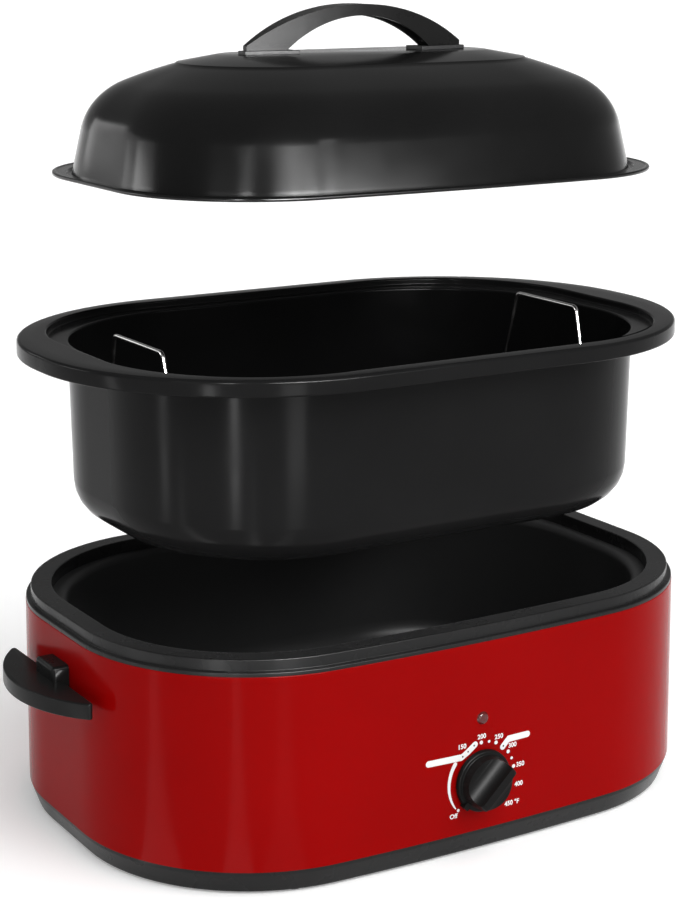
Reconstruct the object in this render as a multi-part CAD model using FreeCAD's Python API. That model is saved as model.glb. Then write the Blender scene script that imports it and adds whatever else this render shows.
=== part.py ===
import FreeCAD, Part
import math
import os
from FreeCAD import Placement, Rotation, Vector

# Electric roaster oven: a painted steel body with a heated well, a lift-out roasting pan
# with its wire rack, and a lift-off domed lid.  Millimetres, +Z up; the controls face -Y.
# The origin is on the table under the middle of everything, so the body, which the pieces
# below are drawn round, stands MIDDLE_Y behind it.  The pan hangs above the body and the
# lid above the pan, lifted apart; both slide straight down to their seats.

# ---------------------------------------------------------------- driving sizes
# body, seen from above: bowed long sides, straight ends, large tangent corners
BODY_LENGTH = 520.0
BODY_WIDTH = 370.0
BODY_END_HALF = 39.0          # half the width less the corner radius: the end is straight there
BODY_CORNER_R = BODY_WIDTH / 2 - BODY_END_HALF
BODY_SIDE_R = 2120.0
SHEET = 1.0                   # painted and enamelled steel sheet

# body, from the table up
FOOT_HEIGHT = 1.5
BASE_HEIGHT = 17.5            # black base ring
SHELL_HEIGHT = 146.5          # painted shell
RIM_HEIGHT = 11.5             # black top rim
HEM_WIDTH = 8.0               # inward hem at the top of the shell

# base ring
BASE_TAPER = 6.4              # inset of the base at the table
BASE_WALL = 2.7
BASE_FLANGE = 15.0            # width of the flange under the bottom plate
BASE_FLANGE_T = 3.0
BASE_UPSTAND = 6.0            # lip inside the shell

# top rim
RIM_LIP = 3.0                 # lower tier, flush with the shell
RIM_STEP = 3.9                # step in from the lip to the upper tier
RIM_WIDTH = 16.3              # flat top ring
RIM_WALL = 3.0

# cooking well, inside the body
WELL_END_GAP = 30.5           # shell to well at the ends, outside to inside
WELL_SIDE_GAP = 25.4          # the same in the middle of the long sides
WELL_LENGTH = BODY_LENGTH - 2 * WELL_END_GAP
WELL_WIDTH = BODY_WIDTH - 2 * WELL_SIDE_GAP
WELL_END_HALF = 23.6
WELL_CORNER_R = WELL_WIDTH / 2 - WELL_END_HALF
WELL_FLOOR_Z = 38.0
WELL_FLOOR_R = 25.0
WELL_MOUTH_R = 5.0

# heating and insulation round the well
HEATER_T = 2.5
HEATER_BOTTOM_Z = 72.0
HEATER_HEIGHT = 56.0
BLANKET_T = 11.0
BLANKET_BOTTOM_Z = 70.0
BLANKET_TOP_Z = 150.0
REFLECTOR_INSET = 22.0
REFLECTOR_LIP = 6.0
PAD_INSET = 32.0
PAD_T = 10.0

# roasting pan: the wall hangs in the well, the mouth is wider by the ledge that carries
# the lid, and the rim lies on the body
PAN_END_GAP = 3.2             # pan wall to well
PAN_SIDE_GAP = 3.1
PAN_LENGTH = WELL_LENGTH - 2 * PAN_END_GAP
PAN_WIDTH = WELL_WIDTH - 2 * PAN_SIDE_GAP
PAN_END_HALF = 23.5
PAN_CORNER_R = PAN_WIDTH / 2 - PAN_END_HALF
PAN_LEDGE_END = 12.2          # width of the ledge
PAN_LEDGE_SIDE = 10.5
PAN_LEDGE_DEPTH = 6.0         # seat of the lid below the rim
PAN_MOUTH_LENGTH = PAN_LENGTH + 2 * PAN_LEDGE_END
PAN_MOUTH_WIDTH = PAN_WIDTH + 2 * PAN_LEDGE_SIDE
PAN_MOUTH_END_HALF = 36.5
PAN_MOUTH_CORNER_R = PAN_MOUTH_WIDTH / 2 - PAN_MOUTH_END_HALF
PAN_END_OVERHANG = 12.25      # rim past the shell at the ends, where it is the pan's handle
PAN_SIDE_INSET = 2.3          # rim inside the shell along the sides
PAN_RIM_LENGTH = BODY_LENGTH + 2 * PAN_END_OVERHANG
PAN_RIM_WIDTH = BODY_WIDTH - 2 * PAN_SIDE_INSET
PAN_RIM_END_HALF = 6.7
PAN_RIM_CORNER_R = PAN_RIM_WIDTH / 2 - PAN_RIM_END_HALF
PAN_RIM_HEIGHT = 12.6
PAN_DRAFT = 3.7
PAN_DEPTH = 133.6             # below the underside of the rim
PAN_FLOOR_R = 30.0
PAN_HEM = 14.0                # rolled part of the rim

# wire rack in the pan
RACK_END_GAP = 35.3           # frame wire's middle to the outside of the pan wall
RACK_SIDE_GAP = 38.5
RACK_LENGTH = PAN_LENGTH - 2 * RACK_END_GAP
RACK_WIDTH = PAN_WIDTH - 2 * RACK_SIDE_GAP
RACK_END_HALF = 52.0
RACK_CORNER_R = RACK_WIDTH / 2 - RACK_END_HALF
RACK_WIRE = 4.0
RACK_CROSS_WIRE = 3.0
RACK_STAND = 12.0             # frame wire above the pan floor
RACK_CROSS_COUNT = 11
LOOP_WIRE = 3.2
LOOP_RISE = 0.5               # top bar above the pan rim
LOOP_TOP_HALF = 41.0
LOOP_FOOT_HALF = 76.0
LOOP_BEND_R = 5.0

# lid, seated inside the pan's mouth
LID_END_GAP = 10.1
LID_SIDE_GAP = 5.6
LID_LENGTH = PAN_MOUTH_LENGTH - 2 * LID_END_GAP
LID_WIDTH = PAN_MOUTH_WIDTH - 2 * LID_SIDE_GAP
LID_END_HALF = 49.4
LID_CORNER_R = LID_WIDTH / 2 - LID_END_HALF
LID_SIDE_R = 2353.0
LID_BEAD = 3.0                # rolled edge
LID_FLANGE = 10.0             # edge to dome, along both axes
LID_FLAT_RISE = 1.6           # underside of the flange above the edge
DOME_END_HALF = 32.4          # at the foot
DOME_CORNER_R = LID_WIDTH / 2 - LID_FLANGE - DOME_END_HALF
DOME_WALL_RUN = 12.0          # wall leans in this far...
DOME_WALL_RISE = 63.5         # ...over this height, to the shoulder's corner point
DOME_SHOULDER_R = 51.0
DOME_RUN = 70.0               # foot of the dome to the crease, along the length
DOME_RISE = 86.5
DOME_SLOPE_R = 300.0          # the slope from shoulder to crease swells by this radius...
DOME_CREASE_ANGLE = 18.0      # ...and arrives at the crease this steep
CREASE_STEP = 1.0
CREASE_INSET = 75.4           # crease inside the foot of the dome, along the long sides
CREASE_WIDTH = LID_WIDTH - 2 * LID_FLANGE - 2 * CREASE_INSET
CREASE_CORNER_R = CREASE_WIDTH / 2 - CREASE_STEP
PANEL_LENGTH = 232.0          # flat top panel
PANEL_INSET = 30.0            # panel inside the crease, along the long sides
PANEL_WIDTH = CREASE_WIDTH - 2 * PANEL_INSET
PANEL_RISE = 5.5

# lid handle
LID_HANDLE_LENGTH = 195.0
LID_HANDLE_WIDTH = 24.0       # at the crown; both sides bow in to the tips
LID_HANDLE_TIP = 6.0
LID_HANDLE_RISE = 34.3        # gasket to crown
LID_HANDLE_HEEL = 3.8         # outer end of each foot
LID_HANDLE_GAP = 130.0        # between the feet
LID_HANDLE_CROWN = 8.9
LID_HANDLE_WALL = 3.0
LID_GASKET_T = 3.0

# side handles
GRIP_SPAN = 153.0
GRIP_DEPTH = 32.0
GRIP_T = 12.3
GRIP_TOP_Z = 133.0
GRIP_GAP = 5.9                # straight edge to shell
GRIP_WALL = 3.0
NECK_WIDTH = 33.0
NECK_TOP_Z = 144.0
NECK_BOTTOM_Z = 114.0
NECK_REACH = 13.5

# controls
KNOB_Z = 58.0
KNOB_R = 24.0
KNOB_SKIRT_T = 3.6
KNOB_BODY_R = 20.3
KNOB_HEIGHT = 23.5
KNOB_BAR_T = 6.0
KNOB_OFF_ANGLE = 133.0        # pointer at OFF, left of straight up
SHAFT_R = 3.0
LAMP_Z = 106.5
LENS_R = 5.0
THERMOSTAT_WIDTH = 34.0
THERMOSTAT_DEPTH = 16.0
THERMOSTAT_HEIGHT = 30.0
BUSHING_X = 100.0
BUSHING_Z = 42.0
BUSHING_R = 11.0
TERMINAL_X = 55.0

# how far apart the parts are shown, and running clearances
MIDDLE_Y = 10.55              # half of how much further the knob reaches than the bushing
PAN_LIFT = 189.0
LID_LIFT = 128.0
SEAT = 0.2                    # left between parts that lift off each other
FIT = 0.3                     # between curved faces
HOLE = 0.2                    # round a screw or shaft

# ---------------------------------------------------------------- derived heights
SHELL_Z = FOOT_HEIGHT + BASE_HEIGHT
SHELL_TOP_Z = SHELL_Z + SHELL_HEIGHT
WELL_FLANGE_Z = SHELL_TOP_Z + SHEET
RIM_TOP_Z = SHELL_TOP_Z + RIM_HEIGHT
PLATE_Z = FOOT_HEIGHT + BASE_FLANGE_T

PAN_RIM_Z = RIM_TOP_Z + SEAT                  # all pan and lid heights are the seated ones
PAN_TOP_Z = PAN_RIM_Z + PAN_RIM_HEIGHT
PAN_LEDGE_Z = PAN_TOP_Z - PAN_LEDGE_DEPTH
PAN_FLOOR_Z = PAN_RIM_Z - PAN_DEPTH + SHEET
RACK_Z = PAN_FLOOR_Z + RACK_STAND

LID_Z = PAN_LEDGE_Z + SEAT
CREASE_Z = LID_Z + DOME_RISE
PANEL_Z = CREASE_Z + CREASE_STEP + PANEL_RISE
LID_HANDLE_Z = PANEL_Z + LID_GASKET_T


# ---------------------------------------------------------------- plan outlines
class Plan:
    """An outline seen from above: straight ends, tangent corner arcs, and long sides
    that are straight or bowed to side_r."""

    def __init__(self, length, width, corner_r, side_r=None):
        self.half_length = length / 2
        self.half_width = width / 2
        self.corner_r = corner_r
        self.side_r = side_r
        self.corner_x = self.half_length - corner_r
        if side_r:
            self.side_y = self.half_width - side_r
            reach = math.sqrt((side_r - corner_r) ** 2 - self.corner_x ** 2)
            self.corner_y = self.side_y + reach
            self.turn = math.atan2(reach, self.corner_x)
        else:
            self.corner_y = self.half_width - corner_r
            self.turn = math.pi / 2

    def inset(self, distance):
        """The parallel outline, distance inside this one."""
        side_r = self.side_r - distance if self.side_r else None
        return Plan(2 * (self.half_length - distance), 2 * (self.half_width - distance),
                    self.corner_r - distance, side_r)

    def wire(self, z=0.0):
        def corner(sx, sy, angle):
            return Vector(sx * (self.corner_x + self.corner_r * math.cos(angle)),
                          sy * (self.corner_y + self.corner_r * math.sin(angle)), z)

        def corner_arc(sx, sy):
            angles = (0, self.turn / 2, self.turn)
            if sx * sy < 0:
                angles = angles[::-1]
            return [corner(sx, sy, angle) for angle in angles]

        def side(start, end, sy):
            if not self.side_r:
                return Part.LineSegment(start, end).toShape()
            return Part.Arc(start, Vector(0, sy * self.half_width, z), end).toShape()

        arcs = [corner_arc(1, 1), corner_arc(-1, 1), corner_arc(-1, -1), corner_arc(1, -1)]
        edges = []
        for index, points in enumerate(arcs):
            following = arcs[(index + 1) % 4]
            edges.append(Part.Arc(*points).toShape())
            if index % 2 == 0:
                edges.append(side(points[2], following[0], 1 if index == 0 else -1))
            else:
                edges.append(Part.LineSegment(points[2], following[0]).toShape())
        return Part.Wire(edges)

    def slab(self, z, height):
        return Part.Face(self.wire(z)).extrude(Vector(0, 0, height))

    def side_point(self, x, front=True):
        """The point of a bowed long side at x, and its outward direction."""
        y = self.side_y + math.sqrt(self.side_r ** 2 - x ** 2)
        out = Vector(x, y - self.side_y, 0).normalize()
        if front:
            return Vector(x, -y, 0), Vector(out.x, -out.y, 0)
        return Vector(x, y, 0), out


def ring(outer, inner, z, height):
    return outer.slab(z, height).cut(inner.slab(z, height))


# ---------------------------------------------------------------- helpers
def rounded_wire(points, closed=True):
    """A wire through (point, radius) pairs, with each corner rounded to its radius."""
    count = len(points)
    joints = []
    for index, (point, radius) in enumerate(points):
        if radius == 0 or (not closed and index in (0, count - 1)):
            joints.append((point, None, point))
            continue
        back = (points[index - 1][0] - point).normalize()
        ahead = (points[(index + 1) % count][0] - point).normalize()
        half = back.getAngle(ahead) / 2
        reach = radius / math.tan(half)
        bisector = (back + ahead).normalize()
        middle = point + bisector * (radius / math.sin(half) - radius)
        joints.append((point + back * reach, middle, point + ahead * reach))
    edges = []
    for index, (start, middle, end) in enumerate(joints):
        if middle is not None:
            edges.append(Part.Arc(start, middle, end).toShape())
        last = index == count - 1
        if last and not closed:
            break
        after = joints[(index + 1) % count][0]
        if end.distanceToPoint(after) > 1e-6:
            edges.append(Part.LineSegment(end, after).toShape())
    return Part.Wire(edges)


def swept_ring(plan, profile):
    """A profile of (inset, z) or (inset, z, radius) corners, carried round a plan."""
    start_x = plan.half_length
    points = []
    for corner in profile:
        radius = corner[2] if len(corner) == 3 else 0
        points.append((Vector(start_x - corner[0], plan.corner_y, corner[1]), radius))
    return plan.wire().makePipeShell([rounded_wire(points)], True, False)


def tube_along(path, radius):
    """A round bar along an open or closed wire."""
    start = path.Edges[0]
    first = start.FirstParameter
    circle = Part.Circle(start.valueAt(first), start.tangentAt(first), radius)
    return path.makePipeShell([Part.Wire(circle.toShape())], True, False)


def rod(start, direction, length, radius):
    return Part.makeCylinder(radius, length, start, direction)


def block(x, y, z):
    """A box from three (low, high) pairs."""
    return Part.makeBox(x[1] - x[0], y[1] - y[0], z[1] - z[0], Vector(x[0], y[0], z[0]))


def centred_block(size_x, size_y, z, height):
    return block((-size_x / 2, size_x / 2), (-size_y / 2, size_y / 2), (z, z + height))


def revolved(profile, axis=Vector(0, 0, 1)):
    """A profile of (radius, z) or (radius, z, rounding) corners, turned about Z."""
    points = []
    for corner in profile:
        points.append((Vector(corner[0], 0, corner[1]), corner[2] if len(corner) == 3 else 0))
    return Part.Face(rounded_wire(points)).revolve(Vector(), axis, 360)


def fused(shapes):
    return shapes[0].multiFuse(shapes[1:]).removeSplitter()


def moved(shape, offset):
    copy = shape.copy()
    copy.translate(offset)
    return copy


def half_turned(shape):
    copy = shape.copy()
    copy.rotate(Vector(), Vector(0, 0, 1), 180)
    return copy


def on_side(shape, x, z, front=True):
    """Put a shape that is built along +Z, with +Y up, on the painted side at x, z."""
    point, out = BODY.side_point(x, front)
    up = Vector(0, 0, 1)
    copy = shape.copy()
    place = Placement(point + up * z, Rotation(up.cross(out), up, out, "ZYX"))
    copy.Placement = place.multiply(copy.Placement)
    return copy


BODY = Plan(BODY_LENGTH, BODY_WIDTH, BODY_CORNER_R, BODY_SIDE_R)
WELL = Plan(WELL_LENGTH, WELL_WIDTH, WELL_CORNER_R)
PAN_RIM = Plan(PAN_RIM_LENGTH, PAN_RIM_WIDTH, PAN_RIM_CORNER_R)
PAN_MOUTH = Plan(PAN_MOUTH_LENGTH, PAN_MOUTH_WIDTH, PAN_MOUTH_CORNER_R)
PAN_WALL = Plan(PAN_LENGTH, PAN_WIDTH, PAN_CORNER_R)
LID_EDGE = Plan(LID_LENGTH, LID_WIDTH, LID_CORNER_R, LID_SIDE_R)

PLATE_INSET = BASE_TAPER + BASE_WALL + HOLE
FLANGE_MIDDLE = PLATE_INSET + BASE_FLANGE * 0.45
SCREW_REACH = 95.0
SCREW_X = (-SCREW_REACH, 0.0, SCREW_REACH)
FOOT_X = (-150.0, 150.0)


# ---------------------------------------------------------------- base
def base_fixing_points(inset, positions):
    """Points on the outline inset from the body, on both long sides, at the given x."""
    plan = BODY.inset(inset)
    points = []
    for x in positions:
        if abs(x) <= plan.corner_x:
            y = plan.side_y + math.sqrt(plan.side_r ** 2 - x ** 2)
        else:
            y = plan.corner_y + math.sqrt(plan.corner_r ** 2 - (abs(x) - plan.corner_x) ** 2)
        points += [Vector(x, y, 0), Vector(x, -y, 0)]
    return points


SCREW_HEAD_R = 3.4
SCREW_HEAD_T = 1.2
SCREW_R = 1.8
FOOT_R = 6.5
FOOT_STEM_R = 2.6


def screw_bar(radius, low, high):
    return revolved([(0, low), (radius, low), (radius, high), (0, high)])


def base_ring():
    bottom = FOOT_HEIGHT
    flange_top = bottom + BASE_FLANGE_T
    profile = [
        (BASE_TAPER, bottom, 2.0),
        (1.0, SHELL_Z - 3.0),
        (0.6, SHELL_Z),
        (SHEET + FIT, SHELL_Z),
        (SHEET + FIT, SHELL_Z + BASE_UPSTAND),
        (SHEET + FIT + BASE_WALL, SHELL_Z + BASE_UPSTAND),
        (SHEET + FIT + BASE_WALL, SHELL_Z - 3.0),
        (BASE_TAPER + BASE_WALL, flange_top),
        (BASE_TAPER + BASE_WALL + BASE_FLANGE, flange_top),
        (BASE_TAPER + BASE_WALL + BASE_FLANGE, bottom),
    ]
    shape = swept_ring(BODY, profile)
    cuts = []
    for point in base_fixing_points(FLANGE_MIDDLE, SCREW_X):
        cuts.append(moved(screw_bar(SCREW_R + HOLE, 0, flange_top + 1), point))
        sink = bottom + SCREW_HEAD_T + HOLE
        cuts.append(moved(screw_bar(SCREW_HEAD_R + HOLE, 0, sink), point))
    for point in base_fixing_points(FLANGE_MIDDLE, FOOT_X):
        cuts.append(moved(screw_bar(FOOT_STEM_R + HOLE, 0, flange_top + 1), point))
    return shape.cut(Part.makeCompound(cuts))


SLOT_LENGTH = 34.0
SLOT_WIDTH = 4.0
SLOT_PITCH = 12.0
SLOT_COUNT = 7
SLOT_BANK_X = 95.0            # middle of each bank


def vent_slots(z, height):
    """Two banks of rounded air slots, one each side of the middle."""
    slots = []
    for bank in (-1, 1):
        for index in range(SLOT_COUNT):
            y = (index - (SLOT_COUNT - 1) / 2) * SLOT_PITCH
            slot = Plan(SLOT_LENGTH + SLOT_WIDTH, SLOT_WIDTH, SLOT_WIDTH * 0.499)
            slots.append(moved(slot.slab(z, height), Vector(bank * SLOT_BANK_X, y, 0)))
    return Part.makeCompound(slots)


STUD_R = 3.0


def bottom_plate():
    shape = BODY.inset(PLATE_INSET + 0.3).slab(PLATE_Z, SHEET)
    cuts = [vent_slots(PLATE_Z - 1, 3), screw_bar(STUD_R + HOLE, PLATE_Z - 1, PLATE_Z + 3)]
    for point in base_fixing_points(FLANGE_MIDDLE, SCREW_X):
        cuts.append(moved(screw_bar(SCREW_R + 0.1, PLATE_Z - 1, PLATE_Z + 3), point))
    for point in base_fixing_points(FLANGE_MIDDLE, FOOT_X):
        cuts.append(moved(screw_bar(FOOT_STEM_R + HOLE, PLATE_Z - 1, PLATE_Z + 3), point))
    return shape.cut(Part.makeCompound(cuts))


def bottom_plate_screws():
    """Pan-head screws up through the base flange into the bottom plate."""
    low = FOOT_HEIGHT + 0.2
    neck = low + SCREW_HEAD_T
    screw = revolved([
        (0, low), (SCREW_HEAD_R, low), (SCREW_HEAD_R, neck), (SCREW_R, neck),
        (SCREW_R, PLATE_Z + 5), (0, PLATE_Z + 5),
    ])
    return Part.makeCompound([moved(screw, p) for p in base_fixing_points(FLANGE_MIDDLE, SCREW_X)])


def rubber_feet():
    """Four push-in feet: a low pad, a stem and a bulb that holds it above the plate."""
    top = PLATE_Z + SHEET + 0.2
    foot = revolved([
        (0, 0), (FOOT_R, 0), (FOOT_R, FOOT_HEIGHT), (FOOT_STEM_R, FOOT_HEIGHT),
        (FOOT_STEM_R, top), (FOOT_STEM_R + 1.0, top), (FOOT_STEM_R, top + 3.0), (0, top + 3.0),
    ])
    return Part.makeCompound([moved(foot, p) for p in base_fixing_points(FLANGE_MIDDLE, FOOT_X)])


# ---------------------------------------------------------------- stack under the well
PAD_Z = WELL_FLOOR_Z - SHEET - PAD_T
REFLECTOR_Z = PAD_Z - SHEET
NUT_ACROSS_CORNERS = 11.0
NUT_T = 2.4


def hold_down_stud():
    """Welded under the well floor; the nut below the bottom plate draws the body together."""
    low = PLATE_Z - NUT_T - 0.2
    return screw_bar(STUD_R, low, WELL_FLOOR_Z - SHEET)


def hold_down_nut():
    corners = [Vector(NUT_ACROSS_CORNERS / 2, 0, 0)]
    turn = Rotation(Vector(0, 0, 1), 60)
    for _ in range(5):
        corners.append(turn.multVec(corners[-1]))
    hexagon = Part.Face(Part.makePolygon(corners + corners[:1]))
    nut = moved(hexagon.extrude(Vector(0, 0, NUT_T)), Vector(0, 0, PLATE_Z - NUT_T))
    return nut.cut(screw_bar(STUD_R + 0.1, 0, PLATE_Z + 1))


def stud_spacer():
    low = PLATE_Z + SHEET
    inner = STUD_R + HOLE
    outer = inner + 2.0
    return revolved([(inner, low), (outer, low), (outer, REFLECTOR_Z), (inner, REFLECTOR_Z)])


def reflector_plate():
    """A bright dish that throws the heat back up at the well."""
    plan = WELL.inset(REFLECTOR_INSET)
    lip = swept_ring(plan, [
        (0, REFLECTOR_Z, 2.0), (0, REFLECTOR_Z + REFLECTOR_LIP), (SHEET, REFLECTOR_Z + REFLECTOR_LIP),
        (SHEET, REFLECTOR_Z + SHEET, 1.0), (6, REFLECTOR_Z + SHEET), (6, REFLECTOR_Z),
    ])
    floor = plan.inset(6).slab(REFLECTOR_Z, SHEET)
    return fused([lip, floor]).cut(screw_bar(STUD_R + HOLE, REFLECTOR_Z - 1, REFLECTOR_Z + 2))


def insulation_pad():
    pad = WELL.inset(PAD_INSET).slab(PAD_Z, PAD_T)
    return pad.cut(screw_bar(STUD_R + HOLE, PAD_Z - 1, PAD_Z + PAD_T + 1))


# ---------------------------------------------------------------- shell and rim
GRIP_SCREW_Y = 9.0
GRIP_SCREW_Z = 130.0
GRIP_SCREW_R = 2.0
THERMOSTAT_SCREW_X = 12.0
THERMOSTAT_SCREW_R = 1.5
BUSHING_NECK_R = BUSHING_R - 3.0
LENS_NECK_R = LENS_R - 1.0


def outer_shell():
    """One wrap of painted sheet with an inward hem at the top, pierced for what it carries."""
    hem_z = SHELL_TOP_Z - SHEET
    profile = [
        (0, SHELL_Z), (0, SHELL_TOP_Z, 0.8), (HEM_WIDTH, SHELL_TOP_Z), (HEM_WIDTH, hem_z),
        (SHEET, hem_z), (SHEET, SHELL_Z),
    ]
    shape = swept_ring(BODY, profile)
    deep = 3 * SHEET

    def hole(radius):
        return Part.makeCylinder(radius, 2 * deep, Vector(0, 0, -deep))

    cuts = [on_side(hole(SHAFT_R + 1.5), 0, KNOB_Z), on_side(hole(LENS_NECK_R + HOLE), 0, LAMP_Z)]
    for x in (-THERMOSTAT_SCREW_X, THERMOSTAT_SCREW_X):
        cuts.append(on_side(hole(THERMOSTAT_SCREW_R + HOLE), x, KNOB_Z))
    cuts.append(on_side(hole(BUSHING_NECK_R + HOLE), BUSHING_X, BUSHING_Z, front=False))
    for sx in (-1, 1):
        for y in (-GRIP_SCREW_Y, GRIP_SCREW_Y):
            start = Vector(sx * (BODY.half_length - deep), y, GRIP_SCREW_Z)
            cuts.append(rod(start, Vector(sx, 0, 0), 2 * deep, GRIP_SCREW_R + HOLE))
    return shape.cut(Part.makeCompound(cuts))


def top_rim():
    """Moulded ring: a lip flush with the shell, then a step in to the flat ring that
    carries the pan; hollow underneath."""
    lip = 0.3
    step = RIM_STEP + lip
    inner = step + RIM_WIDTH
    lip_top = SHELL_TOP_Z + RIM_LIP
    roof = RIM_TOP_Z - RIM_WALL
    profile = [
        (lip, SHELL_TOP_Z), (lip, lip_top, 0.8), (step, lip_top, 0.6), (step, RIM_TOP_Z, 2.2),
        (inner, RIM_TOP_Z, 2.0), (inner, WELL_FLANGE_Z), (inner - RIM_WALL, WELL_FLANGE_Z),
        (inner - RIM_WALL, roof), (step + RIM_WALL, roof), (step + RIM_WALL, WELL_FLANGE_Z),
        (lip + 2.4, WELL_FLANGE_Z), (lip + 2.4, SHELL_TOP_Z),
    ]
    return swept_ring(BODY, profile)


def cooking_well():
    """Liner: a flange on the shell's hem, a rolled mouth, straight walls, dished floor."""
    mouth = WELL_MOUTH_R + SHEET
    floor_run = WELL_FLOOR_R + 2.0
    wall = swept_ring(WELL, [
        (-mouth - 1.0, WELL_FLANGE_Z), (0, WELL_FLANGE_Z, mouth), (0, WELL_FLOOR_Z, WELL_FLOOR_R),
        (floor_run, WELL_FLOOR_Z), (floor_run, WELL_FLOOR_Z - SHEET),
        (-SHEET, WELL_FLOOR_Z - SHEET, WELL_FLOOR_R + SHEET), (-SHEET, SHELL_TOP_Z, WELL_MOUTH_R),
        (-mouth - 1.0, SHELL_TOP_Z),
    ])
    floor = WELL.inset(floor_run).slab(WELL_FLOOR_Z - SHEET, SHEET)
    flange = ring(BODY.inset(3.0), WELL.inset(-mouth - 1.0), SHELL_TOP_Z, SHEET)
    return fused([wall, floor, flange])


# ---------------------------------------------------------------- heat round the well
def heater_band():
    start = -SHEET - FIT
    high = HEATER_BOTTOM_Z + HEATER_HEIGHT
    return swept_ring(WELL, [
        (start, HEATER_BOTTOM_Z), (start, high), (start - HEATER_T, high),
        (start - HEATER_T, HEATER_BOTTOM_Z),
    ])


TERMINAL_R = 2.0
TERMINAL_REACH = 9.0
TERMINAL_PITCH = 15.0
HEATER_MIDDLE_Z = HEATER_BOTTOM_Z + HEATER_HEIGHT / 2


def heater_terminals():
    """Two threaded posts on the band, behind the window in the blanket."""
    y = WELL.half_width + SHEET + FIT + HEATER_T
    posts = []
    for x in (-TERMINAL_PITCH, TERMINAL_PITCH):
        start = Vector(x, y, HEATER_MIDDLE_Z)
        post = rod(start, Vector(0, 1, 0), TERMINAL_REACH, TERMINAL_R)
        collar = rod(start + Vector(0, 2, 0), Vector(0, 1, 0), 1.5, TERMINAL_R + 2.0)
        posts.append(fused([post, collar]))
    return Part.makeCompound(posts)


def insulation_blanket():
    start = -SHEET - FIT - HEATER_T - FIT
    blanket = swept_ring(WELL, [
        (start, BLANKET_BOTTOM_Z), (start, BLANKET_TOP_Z), (start - BLANKET_T, BLANKET_TOP_Z),
        (start - BLANKET_T, BLANKET_BOTTOM_Z),
    ])
    far = BODY_WIDTH
    control_window = block((-42, 42), (-far, 0), (BLANKET_BOTTOM_Z - 1, LAMP_Z + 14))
    terminal_window = block((-30, 30), (0, far), (HEATER_MIDDLE_Z - 14, HEATER_MIDDLE_Z + 14))
    return blanket.cut(Part.makeCompound([control_window, terminal_window]))


# ---------------------------------------------------------------- controls
BRACKET_T = 1.5
THERMOSTAT_FRONT = -SHEET - FIT - BRACKET_T       # all along the outward axis of the knob


def thermostat_bracket():
    """Folded strap behind the shell that the thermostat hangs on."""
    high = -SHEET - FIT
    low = high - BRACKET_T
    height = THERMOSTAT_HEIGHT + 4.0
    strap = centred_block(THERMOSTAT_WIDTH + 8.0, height, low, BRACKET_T)
    ear_x = THERMOSTAT_WIDTH / 2 + HOLE
    ears = []
    for sx in (-1, 1):
        x = sorted((sx * ear_x, sx * (ear_x + BRACKET_T)))
        ears.append(block(x, (-height / 2, height / 2), (low - 8.0, low)))
    shape = fused([strap] + ears)
    cuts = [screw_bar(SHAFT_R + 1.0, low - 1, high + 1)]
    for x in (-THERMOSTAT_SCREW_X, THERMOSTAT_SCREW_X):
        cuts.append(moved(screw_bar(THERMOSTAT_SCREW_R + HOLE, low - 1, high + 1), Vector(x, 0, 0)))
    return on_side(shape.cut(Part.makeCompound(cuts)), 0, KNOB_Z)


def thermostat_body():
    low = THERMOSTAT_FRONT - THERMOSTAT_DEPTH
    case = centred_block(THERMOSTAT_WIDTH, THERMOSTAT_HEIGHT, low, THERMOSTAT_DEPTH)
    case = case.makeFillet(1.5, [e for e in case.Edges if abs(e.tangentAt(0).z) > 0.9])
    cuts = [screw_bar(SHAFT_R + FIT, low + 6.0, 1)]
    for x in (-THERMOSTAT_SCREW_X, THERMOSTAT_SCREW_X):
        hole = screw_bar(THERMOSTAT_SCREW_R + 0.1, THERMOSTAT_FRONT - 7.0, 1)
        cuts.append(moved(hole, Vector(x, 0, 0)))
    return on_side(case.cut(Part.makeCompound(cuts)), 0, KNOB_Z)


def thermostat_screws():
    """Two screws under the knob, through the shell and the bracket."""
    low = THERMOSTAT_FRONT - 6.5
    screw = revolved([
        (0, low), (THERMOSTAT_SCREW_R, low), (THERMOSTAT_SCREW_R, 0), (2.8, 0), (2.2, 1.4), (0, 1.4),
    ])
    screws = [moved(screw, Vector(x, 0, 0)) for x in (-THERMOSTAT_SCREW_X, THERMOSTAT_SCREW_X)]
    return on_side(Part.makeCompound(screws), 0, KNOB_Z)


PROBE_R = 2.5
PROBE_Z = BLANKET_BOTTOM_Z - PROBE_R - FIT


def probe_y():
    return WELL.half_width + SHEET + FIT + PROBE_R


def thermostat_probe():
    """Sensing bulb along the well wall, with its thin tube back to the thermostat."""
    y = -probe_y()
    bulb = rod(Vector(42, y, PROBE_Z), Vector(1, 0, 0), 44, PROBE_R)
    tube_y = -(BODY.half_width + THERMOSTAT_FRONT - THERMOSTAT_DEPTH / 2)
    path = rounded_wire([
        (Vector(THERMOSTAT_WIDTH / 2 + BRACKET_T + FIT, tube_y, PROBE_Z), 0),
        (Vector(27, tube_y, PROBE_Z), 5), (Vector(35, y, PROBE_Z), 5),
        (Vector(44, y, PROBE_Z), 0),
    ], closed=False)
    return fused([bulb, tube_along(path, 0.9)])


def thermal_fuse():
    y = probe_y()
    fuse = revolved([(0, 0), (PROBE_R, 0), (PROBE_R, 24), (0, 24)])
    fuse.rotate(Vector(), Vector(0, 1, 0), 90)
    return moved(fuse, Vector(-46, y, PROBE_Z))


def indicator_lens():
    """Domed lens on a hollow neck that snaps through the shell."""
    profile = [
        (0, 0.8), (0, 2.4), (LENS_R - 1.2, 1.9, 1.5), (LENS_R, 0), (LENS_NECK_R, 0),
        (LENS_NECK_R, -9), (LENS_NECK_R - 0.9, -9), (LENS_NECK_R - 0.9, 0.8),
    ]
    return on_side(revolved(profile), 0, LAMP_Z)


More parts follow.
